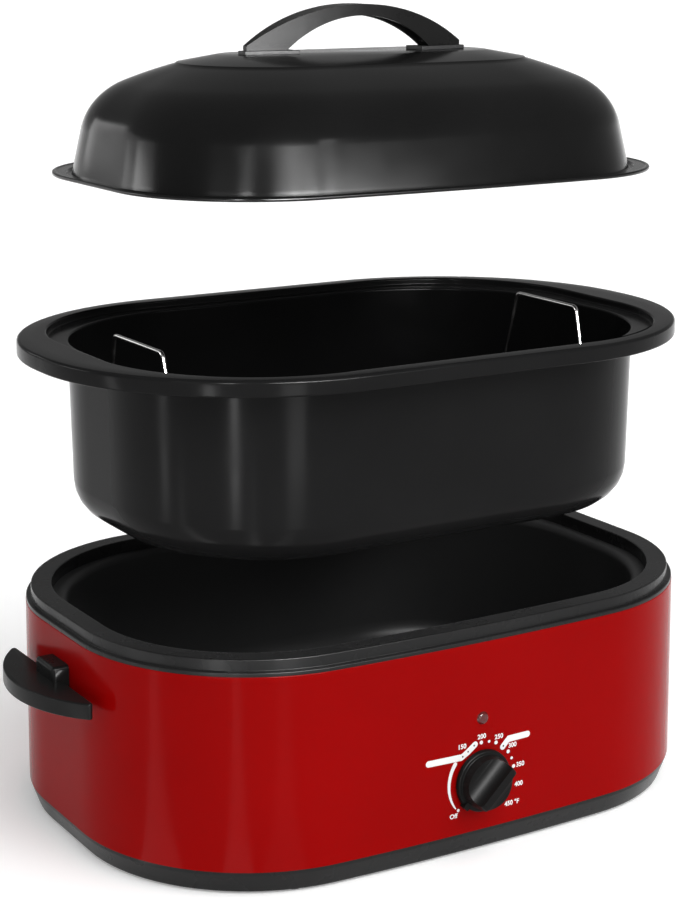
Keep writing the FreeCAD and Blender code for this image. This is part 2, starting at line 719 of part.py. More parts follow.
def neon_lamp():
    radius = LENS_NECK_R - 0.9 - HOLE
    profile = [(0, -14), (radius, -14), (radius, 0.2, 1.5), (0, 0.2)]
    return on_side(revolved(profile), 0, LAMP_Z)


def lens_clip():
    """Push-on ring that holds the lens behind the shell."""
    inner = LENS_NECK_R + 0.1
    top = -SHEET - 0.1
    profile = [(inner, top - 0.8), (inner + 3.0, top - 0.8), (inner + 3.0, top), (inner, top)]
    return on_side(revolved(profile), 0, LAMP_Z)


def cord_bushing():
    """Grommet in the back of the shell for the supply cord."""
    inside = -SHEET - HOLE
    neck = BUSHING_NECK_R
    profile = [
        (3.6, inside - 2.5, 0.8), (BUSHING_R - 1.0, inside - 2.5, 0.8), (BUSHING_R - 1.0, inside),
        (neck, inside), (neck, HOLE), (BUSHING_R, HOLE), (BUSHING_R, 2.2, 1.2),
        (6.0, 4.5, 1.5), (3.6, 4.5, 0.8),
    ]
    return on_side(revolved(profile), BUSHING_X, BUSHING_Z, front=False)


TERMINAL_BLOCK_SIZE = (38.0, 16.0, 15.0)


def terminal_block():
    """Two-way block against the back of the shell, its screws facing inward."""
    width, height, depth = TERMINAL_BLOCK_SIZE
    high = -SHEET - FIT
    shape = centred_block(width, height, high - depth, depth)
    cuts = [centred_block(1.6, height + 2, high - depth - 1, 5.0)]
    for x in (-width / 4, width / 4):
        cuts.append(moved(screw_bar(3.0, high - depth - 1, high - depth + 4), Vector(x, 0, 0)))
    return on_side(shape.cut(Part.makeCompound(cuts)), TERMINAL_X, BUSHING_Z, front=False)


HARNESS_R = 2.0


def wiring_harness():
    """Sleeved leads from the terminal block round the end of the well to the thermostat."""
    y = BODY.half_width + THERMOSTAT_FRONT - THERMOSTAT_DEPTH / 2
    z = KNOB_Z - THERMOSTAT_HEIGHT / 2 + HARNESS_R + 0.5
    x = WELL.half_length + y - WELL.half_width
    bend = WELL.corner_r
    start = TERMINAL_X + TERMINAL_BLOCK_SIZE[0] / 2 + FIT
    finish = THERMOSTAT_WIDTH / 2 + HOLE + BRACKET_T + FIT
    path = rounded_wire([
        (Vector(start, y, z), 0), (Vector(x, y, z), bend), (Vector(x, -y, z), bend),
        (Vector(finish, -y, z), 0),
    ], closed=False)
    return tube_along(path, HARNESS_R)


SHAFT_TOP = KNOB_HEIGHT - 5.0


def thermostat_shaft():
    low = THERMOSTAT_FRONT - THERMOSTAT_DEPTH + 6.0 + FIT
    shaft = screw_bar(SHAFT_R, low, SHAFT_TOP)
    flat = block((-SHAFT_R, SHAFT_R), (SHAFT_R - 0.8, SHAFT_R + 1), (4.0, SHAFT_TOP + 1))
    return knob_placed(shaft.cut(flat))


INSERT_T = 0.7


def knob_insert():
    """Split spring sleeve between the knob's hub and the shaft."""
    inner = SHAFT_R + 0.05
    outer = inner + INSERT_T
    sleeve = revolved([(inner, 4.5), (outer, 4.5), (outer, 14.5), (inner, 14.5)])
    return knob_placed(sleeve.cut(block((-0.7, 0.7), (0, 9), (0, KNOB_HEIGHT))))


def knob_placed(shape):
    """Knob pieces are built with the pointer up; this turns them to OFF on the shell."""
    copy = shape.copy()
    copy.rotate(Vector(), Vector(0, 0, 1), KNOB_OFF_ANGLE)
    return on_side(copy, 0, KNOB_Z)


def control_knob():
    """Skirt with a pointer, and a body scooped on both sides to leave a grip bar."""
    low = 0.9
    skirt_top = low + KNOB_SKIRT_T
    wall = 2.2
    hub_r = SHAFT_R + INSERT_T + 2.8
    bore_r = SHAFT_R + INSERT_T + 0.1
    cavity_top = skirt_top - wall
    body = revolved([
        (0, low), (KNOB_R, low), (KNOB_R - 0.5, skirt_top, 1.4), (KNOB_BODY_R + 0.4, skirt_top, 0.8),
        (KNOB_BODY_R - 1.6, KNOB_HEIGHT, 3.0), (0, KNOB_HEIGHT),
    ])
    scoop_r = 13.0
    scoop_z = 24.5
    scoops = []
    for sx in (-1, 1):
        start = Vector(sx * (KNOB_BAR_T / 2 + scoop_r), -2 * KNOB_R, scoop_z)
        scoops.append(rod(start, Vector(0, 1, 0), 4 * KNOB_R, scoop_r))
    cavity = revolved([
        (hub_r, low - 1), (KNOB_R - wall, low - 1), (KNOB_R - wall, cavity_top),
        (KNOB_BODY_R - wall, cavity_top), (KNOB_BODY_R - wall, scoop_z - scoop_r - wall),
        (hub_r, scoop_z - scoop_r - wall),
    ])
    bore = screw_bar(bore_r, low - 1, SHAFT_TOP + HOLE)
    pointer = block((-2.6, 2.6), (KNOB_BODY_R - 3.0, KNOB_R + 1.6), (low, skirt_top + 1.6))
    pointer = pointer.makeFillet(0.8, [e for e in pointer.Edges if abs(e.tangentAt(0).z) > 0.9])
    shape = fused([body.cut(Part.makeCompound(scoops)), pointer])
    return knob_placed(shape.cut(Part.makeCompound([cavity, bore])))


# ---------------------------------------------------------------- side handles
def grip_outline(shrink):
    """The crescent: a straight edge along the shell and one arc from tip to tip."""
    straight_x = BODY.half_length + GRIP_GAP + shrink
    half = GRIP_SPAN / 2
    radius = (half ** 2 + GRIP_DEPTH ** 2) / (2 * GRIP_DEPTH)
    centre_x = BODY.half_length + GRIP_GAP + GRIP_DEPTH - radius
    radius -= shrink
    tip_y = math.sqrt(radius ** 2 - (straight_x - centre_x) ** 2)
    tips = [Vector(straight_x, -tip_y, 0), Vector(straight_x, tip_y, 0)]
    arc = Part.Arc(tips[0], Vector(centre_x + radius, 0, 0), tips[1]).toShape()
    return Part.Face(Part.Wire([arc, Part.LineSegment(tips[1], tips[0]).toShape()]))


def side_handle():
    """Crescent grip, ribbed underneath, on a neck that stands off the shell."""
    bottom = GRIP_TOP_Z - GRIP_T
    grip = moved(grip_outline(0), Vector(0, 0, bottom)).extrude(Vector(0, 0, GRIP_T))
    grip = grip.makeFillet(2.5, [e for e in grip.Edges if abs(e.tangentAt(0).z) > 0.9])
    rims = [e for e in grip.Edges if e.BoundBox.ZLength < 0.01]
    grip = grip.makeFillet(1.2, rims)
    pocket = moved(grip_outline(GRIP_WALL), Vector(0, 0, bottom - 1))
    pocket = pocket.extrude(Vector(0, 0, GRIP_T - GRIP_WALL + 1))
    ribs = []
    for y in (-42.0, -NECK_WIDTH / 2 - 1.0, NECK_WIDTH / 2 + 1.0, 42.0):
        reach = BODY.half_length + GRIP_GAP
        ribs.append(block((reach, reach + GRIP_DEPTH), (y - 1, y + 1), (bottom - 1, GRIP_TOP_Z)))
    grip = grip.cut(pocket.cut(Part.makeCompound(ribs)))
    neck = block((BODY.half_length, BODY.half_length + NECK_REACH),
                 (-NECK_WIDTH / 2, NECK_WIDTH / 2), (NECK_BOTTOM_Z, NECK_TOP_Z))
    outer_edges = [e for e in neck.Edges if e.CenterOfMass.x > BODY.half_length + 1]
    neck = neck.makeFillet(3.0, outer_edges)
    shape = fused([grip, neck])
    holes = []
    for y in (-GRIP_SCREW_Y, GRIP_SCREW_Y):
        start = Vector(BODY.half_length - 1, y, GRIP_SCREW_Z)
        holes.append(rod(start, Vector(1, 0, 0), NECK_REACH - 2.0, GRIP_SCREW_R + 0.1))
    return shape.cut(Part.makeCompound(holes))


BACKING_T = 1.5
BACKING_WIDTH = 44.0
BACKING_HEIGHT = 28.0
GRIP_SCREW_HEAD_R = 3.6
GRIP_SCREW_HEAD_T = 2.0


def handle_backing_plates():
    """Steel plates inside the shell that spread the pull of the handles."""
    high = BODY.half_length - SHEET
    low = high - BACKING_T
    plate = block((low, high), (-BACKING_WIDTH / 2, BACKING_WIDTH / 2),
                  (GRIP_SCREW_Z - BACKING_HEIGHT / 2, GRIP_SCREW_Z + BACKING_HEIGHT / 2))
    for y in (-GRIP_SCREW_Y, GRIP_SCREW_Y):
        start = Vector(low - BACKING_T, y, GRIP_SCREW_Z)
        plate = plate.cut(rod(start, Vector(1, 0, 0), 3 * BACKING_T, GRIP_SCREW_R + HOLE))
    return Part.makeCompound([plate, half_turned(plate)])


def handle_screws():
    """Two pan-head screws each, from inside the shell into the neck."""
    seat = BODY.half_length - SHEET - BACKING_T
    screws = []
    for y in (-GRIP_SCREW_Y, GRIP_SCREW_Y):
        head_start = Vector(seat - GRIP_SCREW_HEAD_T, y, GRIP_SCREW_Z)
        head = rod(head_start, Vector(1, 0, 0), GRIP_SCREW_HEAD_T, GRIP_SCREW_HEAD_R)
        length = NECK_REACH + SHEET + BACKING_T - 3.5
        shank = rod(Vector(seat, y, GRIP_SCREW_Z), Vector(1, 0, 0), length, GRIP_SCREW_R)
        screws.append(fused([head, shank]))
    screws += [half_turned(screw) for screw in screws]
    return Part.makeCompound(screws)


# ---------------------------------------------------------------- roasting pan and rack
def roasting_pan():
    """Deep drawn pan: a rolled rim, wide at the ends, a sunk ledge for the lid, drafted
    walls and a large floor radius."""
    t = SHEET
    rim_low, rim_top, ledge = PAN_RIM_Z, PAN_TOP_Z, PAN_LEDGE_Z
    hem = swept_ring(PAN_RIM, [
        (0, rim_low, 1.6), (0, rim_top, 2.6), (PAN_HEM, rim_top), (PAN_HEM, rim_top - t),
        (t, rim_top - t, 1.6), (t, rim_low + t, 0.6), (PAN_HEM, rim_low + t), (PAN_HEM, rim_low),
    ])
    inner_hem = PAN_RIM.inset(PAN_HEM)
    rim_plate = ring(inner_hem, PAN_MOUTH, rim_top - t, t)
    under_plate = ring(inner_hem, BODY.inset(RIM_STEP + RIM_WIDTH), rim_low, t)
    mouth_wall = ring(PAN_MOUTH.inset(-t), PAN_MOUTH, ledge - t, rim_top - ledge + t)
    ledge_plate = ring(PAN_MOUTH, PAN_WALL.inset(t), ledge - t, t)
    bottom = PAN_FLOOR_Z - t
    run = PAN_DRAFT + PAN_FLOOR_R + 3.0
    wall = swept_ring(PAN_WALL, [
        (0, ledge - t), (PAN_DRAFT, bottom, PAN_FLOOR_R), (run, bottom), (run, PAN_FLOOR_Z),
        (PAN_DRAFT + t, PAN_FLOOR_Z, PAN_FLOOR_R - t), (t, ledge - t),
    ])
    floor = PAN_WALL.inset(run).slab(bottom, t)
    return fused([hem, rim_plate, under_plate, mouth_wall, ledge_plate, wall, floor])


def rack_frame():
    """Oval wire, two long stays and four legs that stand on the pan floor."""
    plan = Plan(RACK_LENGTH, RACK_WIDTH, RACK_CORNER_R)
    pieces = [tube_along(plan.wire(RACK_Z), RACK_WIRE / 2)]
    stay = RACK_CROSS_WIRE / 2
    foot = PAN_FLOOR_Z + SEAT
    for y in (-RACK_WIDTH / 5, RACK_WIDTH / 5):
        start = Vector(-plan.half_length, y, RACK_Z)
        pieces.append(rod(start, Vector(1, 0, 0), RACK_LENGTH, stay))
        for x in (-RACK_LENGTH / 4, RACK_LENGTH / 4):
            leg = revolved([(0, foot), (RACK_WIRE, foot), (RACK_WIRE, foot + 1.5), (stay + 0.3, foot + 1.5),
                            (stay + 0.3, RACK_Z), (0, RACK_Z)])
            pieces.append(moved(leg, Vector(x, y, 0)))
    return fused(pieces)


def rack_cross_wires():
    """Cross wires welded on top of the frame, each as long as the oval is wide there."""
    plan = Plan(RACK_LENGTH, RACK_WIDTH, RACK_CORNER_R)
    radius = RACK_CROSS_WIRE / 2
    z = RACK_Z + RACK_WIRE / 2 + radius + 0.1
    pitch = RACK_LENGTH / (RACK_CROSS_COUNT + 1)
    wires = []
    for index in range(RACK_CROSS_COUNT):
        x = (index - (RACK_CROSS_COUNT - 1) / 2) * pitch
        past = max(0.0, abs(x) - plan.corner_x)
        half = plan.corner_y + math.sqrt(plan.corner_r ** 2 - past ** 2)
        wires.append(rod(Vector(x, -half, z), Vector(0, 1, 0), 2 * half, radius))
    return Part.makeCompound(wires)


def rack_loops():
    """Upright lifting loops at both ends, narrower at the top."""
    plan = Plan(RACK_LENGTH, RACK_WIDTH, RACK_CORNER_R)
    past = LOOP_FOOT_HALF - plan.corner_y
    foot_x = plan.corner_x + math.sqrt(plan.corner_r ** 2 - past ** 2)
    top_x = plan.half_length
    low = RACK_Z + RACK_WIRE / 2 + 0.45
    high = PAN_TOP_Z + LOOP_RISE
    path = rounded_wire([
        (Vector(foot_x, -LOOP_FOOT_HALF, low), 0),
        (Vector(top_x, -LOOP_TOP_HALF, high), LOOP_BEND_R),
        (Vector(top_x, LOOP_TOP_HALF, high), LOOP_BEND_R),
        (Vector(foot_x, LOOP_FOOT_HALF, low), 0),
    ], closed=False)
    loop = tube_along(path, LOOP_WIRE / 2)
    return Part.makeCompound([loop, half_turned(loop)])


# ---------------------------------------------------------------- lid
DOME_FOOT = Plan(LID_LENGTH - 2 * LID_FLANGE, LID_WIDTH - 2 * LID_FLANGE, DOME_CORNER_R,
                 LID_SIDE_R - LID_FLANGE)


def dome_section(run, z, shrink):
    """The dome's outline where its wall has come in by run along the length."""
    share = run / DOME_RUN

    def between(start, end):
        return start + (end - start) * share

    length = 2 * (DOME_FOOT.half_length - run)
    width = between(2 * DOME_FOOT.half_width, CREASE_WIDTH)
    corner = between(DOME_CORNER_R, CREASE_CORNER_R)
    return Plan(length, width, corner, DOME_FOOT.side_r).inset(shrink).wire(z)


def dome_profile(shoulder_steps, slope_steps):
    """(run, rise) from foot to crease: the wall, the shoulder tangent to it, and the slope, an
    arc of its own that the shoulder runs into without a kink."""
    crease = math.radians(DOME_CREASE_ANGLE)
    slope_run = DOME_RUN + DOME_SLOPE_R * math.sin(crease)
    slope_rise = DOME_RISE - DOME_SLOPE_R * math.cos(crease)
    wall = math.atan2(DOME_WALL_RISE, DOME_WALL_RUN)
    # the shoulder's centre lies its radius inside the wall, and inside the slope's arc
    off_run = DOME_SHOULDER_R * math.sin(wall) - slope_run
    off_rise = -DOME_SHOULDER_R * math.cos(wall) - slope_rise
    along = off_run * math.cos(wall) + off_rise * math.sin(wall)
    spare = off_run ** 2 + off_rise ** 2 - (DOME_SLOPE_R - DOME_SHOULDER_R) ** 2
    climb = -along + math.sqrt(along ** 2 - spare)
    centre_run = off_run + slope_run + climb * math.cos(wall)
    centre_rise = off_rise + slope_rise + climb * math.sin(wall)
    meet = math.atan2(slope_run - centre_run, centre_rise - slope_rise)
    points = [(0.0, 0.0)]
    for step in range(shoulder_steps + 1):
        angle = wall + (meet - wall) * step / shoulder_steps
        points.append((centre_run - DOME_SHOULDER_R * math.sin(angle),
                       centre_rise + DOME_SHOULDER_R * math.cos(angle)))
    for step in range(1, slope_steps + 1):
        angle = meet + (crease - meet) * step / slope_steps
        points.append((slope_run - DOME_SLOPE_R * math.sin(angle),
                       slope_rise + DOME_SLOPE_R * math.cos(angle)))
    return points


def dome_solid(shrink):
    """The dome filled in, shrink inside its outer face: wall, shoulder, slope, panel."""
    wires = []
    for run, rise in dome_profile(8, 4):
        drop = shrink if rise > 0 else 0
        wires.append(dome_section(run, LID_Z + rise - drop, shrink))
    step = dome_section(DOME_RUN, CREASE_Z - shrink + CREASE_STEP, shrink + CREASE_STEP)
    panel = Plan(PANEL_LENGTH, PANEL_WIDTH, PANEL_WIDTH / 2 - 3.0, LID_SIDE_R).inset(shrink)
    wires += [step, panel.wire(PANEL_Z - shrink)]
    return Part.makeLoft(wires, True, True)


LID_SCREW_X = 78.0
LID_SCREW_R = 2.2


def lid_shell():
    """Stamped lid: rolled edge, flat flange, a groove round the foot of the dome, the
    dome, and the raised top panel."""
    t = SHEET
    z = LID_Z
    flat = z + LID_FLAT_RISE
    bead = LID_BEAD
    hook = bead + 2.0
    edge = swept_ring(LID_EDGE, [
        (0, z, 1.3), (0, z + bead, 1.3), (bead, z + bead, 1.0), (bead + 0.6, flat + t),
        (hook, flat + t), (hook, flat), (bead, flat), (bead, z, 1.0),
    ])
    groove = 4.0
    flange = ring(LID_EDGE.inset(hook), DOME_FOOT.inset(-groove), flat, t)
    foot = swept_ring(DOME_FOOT, [
        (-groove, flat + t), (1.0 - groove, z + t), (t, z + t), (t, z), (0.4 - groove, z),
        (-groove, flat),
    ])
    dome = dome_solid(0).cut(dome_solid(t))
    holes = []
    for x in (-LID_SCREW_X, LID_SCREW_X):
        holes.append(moved(screw_bar(LID_SCREW_R + HOLE, PANEL_Z - 5, PANEL_Z + 5), Vector(x, 0, 0)))
    return fused([dome, edge, flange, foot]).cut(Part.makeCompound(holes))


def arch_face(outer_half, outer_rise, inner_half, inner_rise, heel, y):
    """The side view of an arched strap that stands on two feet at z = 0."""
    def at(x, z):
        return Vector(x, y, z)

    corners = [at(outer_half, heel), at(outer_half, 0), at(inner_half, 0)]
    mirrored = [at(-inner_half, 0), at(-outer_half, 0), at(-outer_half, heel)]
    outer = Part.Arc(mirrored[2], at(0, outer_rise), corners[0]).toShape()
    inner = Part.Arc(corners[2], at(0, inner_rise), mirrored[0]).toShape()
    edges = [outer] + Part.makePolygon(corners).Edges + [inner] + Part.makePolygon(mirrored).Edges
    return Part.Face(Part.Wire(edges))


def bowed_strip(length, width, tip, z, height):
    """A strip that is width across in the middle and bows in to tip across at its ends."""
    def at(x, y):
        return Vector(x, y, z)

    half = length / 2
    ends = [at(-half, -tip / 2), at(half, -tip / 2), at(half, tip / 2), at(-half, tip / 2)]
    front = Part.Arc(ends[0], at(0, -width / 2), ends[1]).toShape()
    back = Part.Arc(ends[2], at(0, width / 2), ends[3]).toShape()
    right = Part.LineSegment(ends[1], ends[2]).toShape()
    left = Part.LineSegment(ends[3], ends[0]).toShape()
    return Part.Face(Part.Wire([front, right, back, left])).extrude(Vector(0, 0, height))


def lid_handle():
    """Arched moulding that bows in to its tips, hollow underneath, with a screw boss and
    a gusset in each foot."""
    half = LID_HANDLE_LENGTH / 2
    gap = LID_HANDLE_GAP / 2
    wall = LID_HANDLE_WALL
    top = LID_HANDLE_RISE
    inner_rise = top - LID_HANDLE_CROWN
    low = -LID_HANDLE_WIDTH / 2
    face = arch_face(half, top, gap, inner_rise, LID_HANDLE_HEEL, low)
    slab = face.extrude(Vector(0, LID_HANDLE_WIDTH, 0))
    arch = slab.common(bowed_strip(LID_HANDLE_LENGTH, LID_HANDLE_WIDTH, LID_HANDLE_TIP, 0, top))
    core = arch_face(half - wall, top - wall, gap - 16.0, inner_rise - 16.0, wall, low)
    core = core.extrude(Vector(0, LID_HANDLE_WIDTH, 0))
    core = core.common(bowed_strip(LID_HANDLE_LENGTH - 2 * wall, LID_HANDLE_WIDTH - 2 * wall,
                                   LID_HANDLE_TIP / 2, wall, top))
    bosses = []
    for sx in (-1, 1):
        x = sx * LID_SCREW_X
        bosses.append(moved(screw_bar(5.0, 0, top), Vector(x, 0, 0)))
        bosses.append(block(sorted((sx * (gap - 1.0), x)), (-1.2, 1.2), (0, 11.0)))
        bosses.append(block(sorted((sx * gap, sx * (gap + 2.4))), (low, -low), (0, 8.0)))
    shape = arch.cut(core)
    for boss in bosses:
        shape = shape.fuse(boss.common(arch))
    bores = []
    for x in (-LID_SCREW_X, LID_SCREW_X):
        bores.append(moved(screw_bar(LID_SCREW_R + 0.1, -1, 8.5), Vector(x, 0, 0)))
    shape = shape.removeSplitter().cut(Part.makeCompound(bores))
    return moved(shape, Vector(0, 0, LID_HANDLE_Z))


GASKET_INNER_X = 56.0
GASKET_MARGIN = 2.8


def lid_handle_gaskets():
    """Heat-resistant pads between the feet of the handle and the hot lid."""
    margin = 2 * GASKET_MARGIN
    pads = bowed_strip(LID_HANDLE_LENGTH + margin, LID_HANDLE_WIDTH + margin,
                       LID_HANDLE_TIP + margin, PANEL_Z, LID_GASKET_T)
    across = LID_HANDLE_WIDTH
    gap = block((-GASKET_INNER_X, GASKET_INNER_X), (-across, across), (PANEL_Z - 1, LID_HANDLE_Z + 1))
    cuts = [gap]
    for x in (-LID_SCREW_X, LID_SCREW_X):
        hole = screw_bar(LID_SCREW_R + HOLE, PANEL_Z - 1, LID_HANDLE_Z + 1)
        cuts.append(moved(hole, Vector(x, 0, 0)))
    return pads.cut(Part.makeCompound(cuts))


WASHER_T = 1.0
WASHER_R = 6.5
LID_SCREW_HEAD_R = 4.2
LID_SCREW_HEAD_T = 2.6
LID_SCREW_REACH = 8.0         # into the handle's bosses


def lid_handle_washers():
    top = PANEL_Z - SHEET
    inner = LID_SCREW_R + HOLE
    washer = revolved([
        (inner, top - WASHER_T), (WASHER_R, top - WASHER_T), (WASHER_R, top), (inner, top),
    ])
    return Part.makeCompound([moved(washer, Vector(x, 0, 0)) for x in (-LID_SCREW_X, LID_SCREW_X)])


def lid_handle_screws():
    """Pan-head screws from inside the lid up into the handle's bosses."""
    seat = PANEL_Z - SHEET - WASHER_T
    top = LID_HANDLE_Z + LID_SCREW_REACH
    low = seat - LID_SCREW_HEAD_T
    crown = LID_SCREW_HEAD_T / 2
    screw = revolved([
        (0, low), (LID_SCREW_HEAD_R - crown, low), (LID_SCREW_HEAD_R, low + crown),
        (LID_SCREW_HEAD_R, seat), (LID_SCREW_R, seat), (LID_SCREW_R, top), (0, top),
    ])
    return Part.makeCompound([moved(screw, Vector(x, 0, 0)) for x in (-LID_SCREW_X, LID_SCREW_X)])


# ---------------------------------------------------------------- write the pieces
BODY_PIECES = {
    "base_ring": base_ring,
    "bottom_plate": bottom_plate,
    "bottom_plate_screws": bottom_plate_screws,
    "rubber_feet": rubber_feet,
    "hold_down_stud": hold_down_stud,
    "hold_down_nut": hold_down_nut,
    "stud_spacer": stud_spacer,
    "reflector_plate": reflector_plate,
    "insulation_pad": insulation_pad,
    "outer_shell": outer_shell,
    "top_rim": top_rim,
    "cooking_well": cooking_well,
    "heater_band": heater_band,
    "heater_terminals": heater_terminals,
    "insulation_blanket": insulation_blanket,
    "thermostat_bracket": thermostat_bracket,
    "thermostat_body": thermostat_body,
    "thermostat_screws": thermostat_screws,
    "thermostat_probe": thermostat_probe,
    "thermal_fuse": thermal_fuse,
    "indicator_lens": indicator_lens,
    "neon_lamp": neon_lamp,
    "lens_clip": lens_clip,
    "cord_bushing": cord_bushing,
    "terminal_block": terminal_block,
    "wiring_harness": wiring_harness,
    "side_handle_right": side_handle,
    "side_handle_left": lambda: half_turned(side_handle()),
    "handle_backing_plates": handle_backing_plates,
    "handle_screws": handle_screws,
    "thermostat_shaft": thermostat_shaft,
    "knob_insert": knob_insert,
    "control_knob": control_knob,
}
PAN_PIECES = {
    "roasting_pan": roasting_pan,
    "rack_frame": rack_frame,
    "rack_cross_wires": rack_cross_wires,
    "rack_loops": rack_loops,
}
LID_PIECES = {
    "lid_shell": lid_shell,
    "lid_handle": lid_handle,
    "lid_handle_gaskets": lid_handle_gaskets,
    "lid_handle_washers": lid_handle_washers,
    "lid_handle_screws": lid_handle_screws,
}


def write(pieces, lift):
    for name, make in pieces.items():
        shape = moved(make(), Vector(0, MIDDLE_Y, lift))
        if len(shape.Solids) == 1:
            shape = shape.Solids[0]
        shape.exportStep("parts/" + name + ".step")
        print(name, "solids", len(shape.Solids), "volume", round(shape.Volume, 1), shape.isValid())


os.makedirs("parts", exist_ok=True)
write(BODY_PIECES, 0)
write(PAN_PIECES, PAN_LIFT)
write(LID_PIECES, PAN_LIFT + LID_LIFT)
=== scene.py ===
# %% [markdown]
# # An electric roaster oven, taken apart in the air
# The solid model comes in first and stays where it is. All that is made below is in metres and in
# the same frame. It gives a solid its finish, stands in its place with a smoother skin, or is
# printed on it. So nothing has to be fitted afterwards: a number from the model is a number here.

# %% Load the frame
import math

import bmesh
import bpy
from mathutils import Matrix, Vector


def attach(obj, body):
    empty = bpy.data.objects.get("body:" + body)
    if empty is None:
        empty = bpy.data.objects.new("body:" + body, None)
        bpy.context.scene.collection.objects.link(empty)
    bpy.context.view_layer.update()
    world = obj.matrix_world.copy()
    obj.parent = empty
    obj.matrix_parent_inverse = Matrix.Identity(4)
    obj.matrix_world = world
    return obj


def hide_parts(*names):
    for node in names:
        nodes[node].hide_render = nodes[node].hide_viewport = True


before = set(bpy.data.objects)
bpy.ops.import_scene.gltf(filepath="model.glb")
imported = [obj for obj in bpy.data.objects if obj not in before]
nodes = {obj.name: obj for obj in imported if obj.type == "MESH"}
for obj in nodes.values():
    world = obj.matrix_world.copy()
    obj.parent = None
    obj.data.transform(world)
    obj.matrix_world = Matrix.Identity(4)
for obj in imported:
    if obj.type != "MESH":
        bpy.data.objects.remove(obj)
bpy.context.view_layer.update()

MM = 0.001
MIDDLE_Y = 10.55                # the body stands this far behind the middle of the whole

# %% [markdown]
# ## Outlines seen from above
# Sizes are written in millimetres round the middle of the oval body, as a drawing has them, and one
# small helper turns such a place into metres in the frame.
#
# Shell, well, pan and lid are all made of sheet, so each is one outline carried up and down a
# profile. The outline has straight ends, round corners and long sides that are straight or gently
# bowed. Every outline gets the same number of points in the same order, so that two different
# ones can be joined by plain four-sided faces.

# %% An outline and its parallel copies
END_STEPS, CORNER_STEPS, SIDE_STEPS = 4, 26, 14


def place(x, y, z):
    """Metres in the frame, from millimetres round the middle of the body."""
    return Vector((x, y + MIDDLE_Y, z)) * MM


class Outline:
    """An oval seen from above: straight ends, round corners and sides that bow where side_r is given."""

    def __init__(self, length, width, corner_r, side_r=None):
        self.half_length, self.half_width = length / 2, width / 2
        self.corner_r, self.side_r = corner_r, side_r
        self.corner_x = self.half_length - corner_r
        if side_r:
            self.side_y = self.half_width - side_r
            reach = math.sqrt((side_r - corner_r) ** 2 - self.corner_x ** 2)
            self.corner_y = self.side_y + reach
            self.turn = math.atan2(reach, self.corner_x)
        else:
            self.corner_y = self.half_width - corner_r
            self.turn = math.pi / 2

    def inset(self, distance):
        side_r = self.side_r - distance if self.side_r else None
        return Outline(2 * (self.half_length - distance), 2 * (self.half_width - distance),
                       self.corner_r - distance, side_r)

    def quarter(self):
        points = [(self.half_length, self.corner_y * i / END_STEPS) for i in range(END_STEPS)]
        for i in range(CORNER_STEPS):
            angle = self.turn * i / CORNER_STEPS
            points.append((self.corner_x + self.corner_r * math.cos(angle),
                           self.corner_y + self.corner_r * math.sin(angle)))
        for i in range(SIDE_STEPS + 1):
            share = i / SIDE_STEPS
            if self.side_r:
                angle = self.turn + (math.pi / 2 - self.turn) * share
                points.append((self.side_r * math.cos(angle),
                               self.side_y + self.side_r * math.sin(angle)))
            else:
                points.append((self.corner_x * (1 - share), self.half_width))
        return points

    def loop(self, z):
        """The whole outline at height z, anticlockwise from the right-hand end."""
        quarter = self.quarter()
        half = quarter + [(-x, y) for x, y in reversed(quarter[:-1])]
        return [(x, y, z) for x, y in half[:-1]] + [(-x, -y, z) for x, y in half[:-1]]

    def ring(self, z):
        return [place(*point) for point in self.loop(z)]


print("points in one outline", len(Outline(100, 60, 20).ring(0)))

# %% [markdown]
# ## Bends in sheet metal
# Real sheet never turns a sharp corner. A profile is written as its corner points, each with the
# radius of its bend, and this helper puts short chords round the bend. Six of them for a quarter
# turn are enough, because the shading smooths what is left. Smooth shading would also bend the
# flat stretch between two bends, so a long stretch gets a point close to each of its ends.


# %% Round the corners of a profile
LONG_STRETCH, HOLD = 12.0, 1.0


def rounded(corners, closed=False, steps=6):
    """(inset, z) points for corners given as (inset, z) or (inset, z, radius)."""
    count = len(corners)
    points = []
    for index, corner in enumerate(corners):
        here = Vector(corner[:2])
        radius = corner[2] if len(corner) == 3 else 0
        if radius == 0 or (not closed and index in (0, count - 1)):
            points.append(here)
            continue
        back = (Vector(corners[index - 1][:2]) - here).normalized()
        ahead = (Vector(corners[(index + 1) % count][:2]) - here).normalized()
        half = back.angle(ahead) / 2
        start = here + back * (radius / math.tan(half))
        centre = here + (back + ahead).normalized() * (radius / math.sin(half))
        ray = start - centre
        sweep = math.copysign(math.pi - 2 * half, ray.cross(-back))
        chords = max(2, round(steps * abs(sweep) / (math.pi / 2)))
        for k in range(chords + 1):
            cos, sin = math.cos(sweep * k / chords), math.sin(sweep * k / chords)
            points.append(centre + Vector((ray.x * cos - ray.y * sin, ray.x * sin + ray.y * cos)))
    held = []
    for here, ahead in zip(points, points[1:] + points[:1]):
        held.append(here)
        if (ahead - here).length > LONG_STRETCH and (closed or here is not points[-1]):
            along = (ahead - here).normalized() * HOLD
            held += [here + along, ahead - along]
    return [(p.x, p.y) for p in held]


print("a square bend becomes", len(rounded([(0, 0), (10, 0, 3), (10, 10)])), "points")

# %% [markdown]
# ## From rings to a piece
# A piece is a stack of rings joined by faces. A section that comes back to where it began, such as
# the moulded rim, closes on itself. One that runs to the middle, such as the floor of the pan, is
# closed with a flat face. Smooth shading with sharp edges marked by angle keeps creases crisp.

# %% Make a mesh piece
CREASE = math.radians(32)


def as_mesh(shape, name):
    """Turn a finished bmesh into a mesh and free it."""
    mesh = bpy.data.meshes.new(name)
    shape.to_mesh(mesh)
    shape.free()
    return mesh


def linked(name, data):
    """A new object of the scene that shows this data."""
    made = bpy.data.objects.new(name, data)
    bpy.context.scene.collection.objects.link(made)
    return made


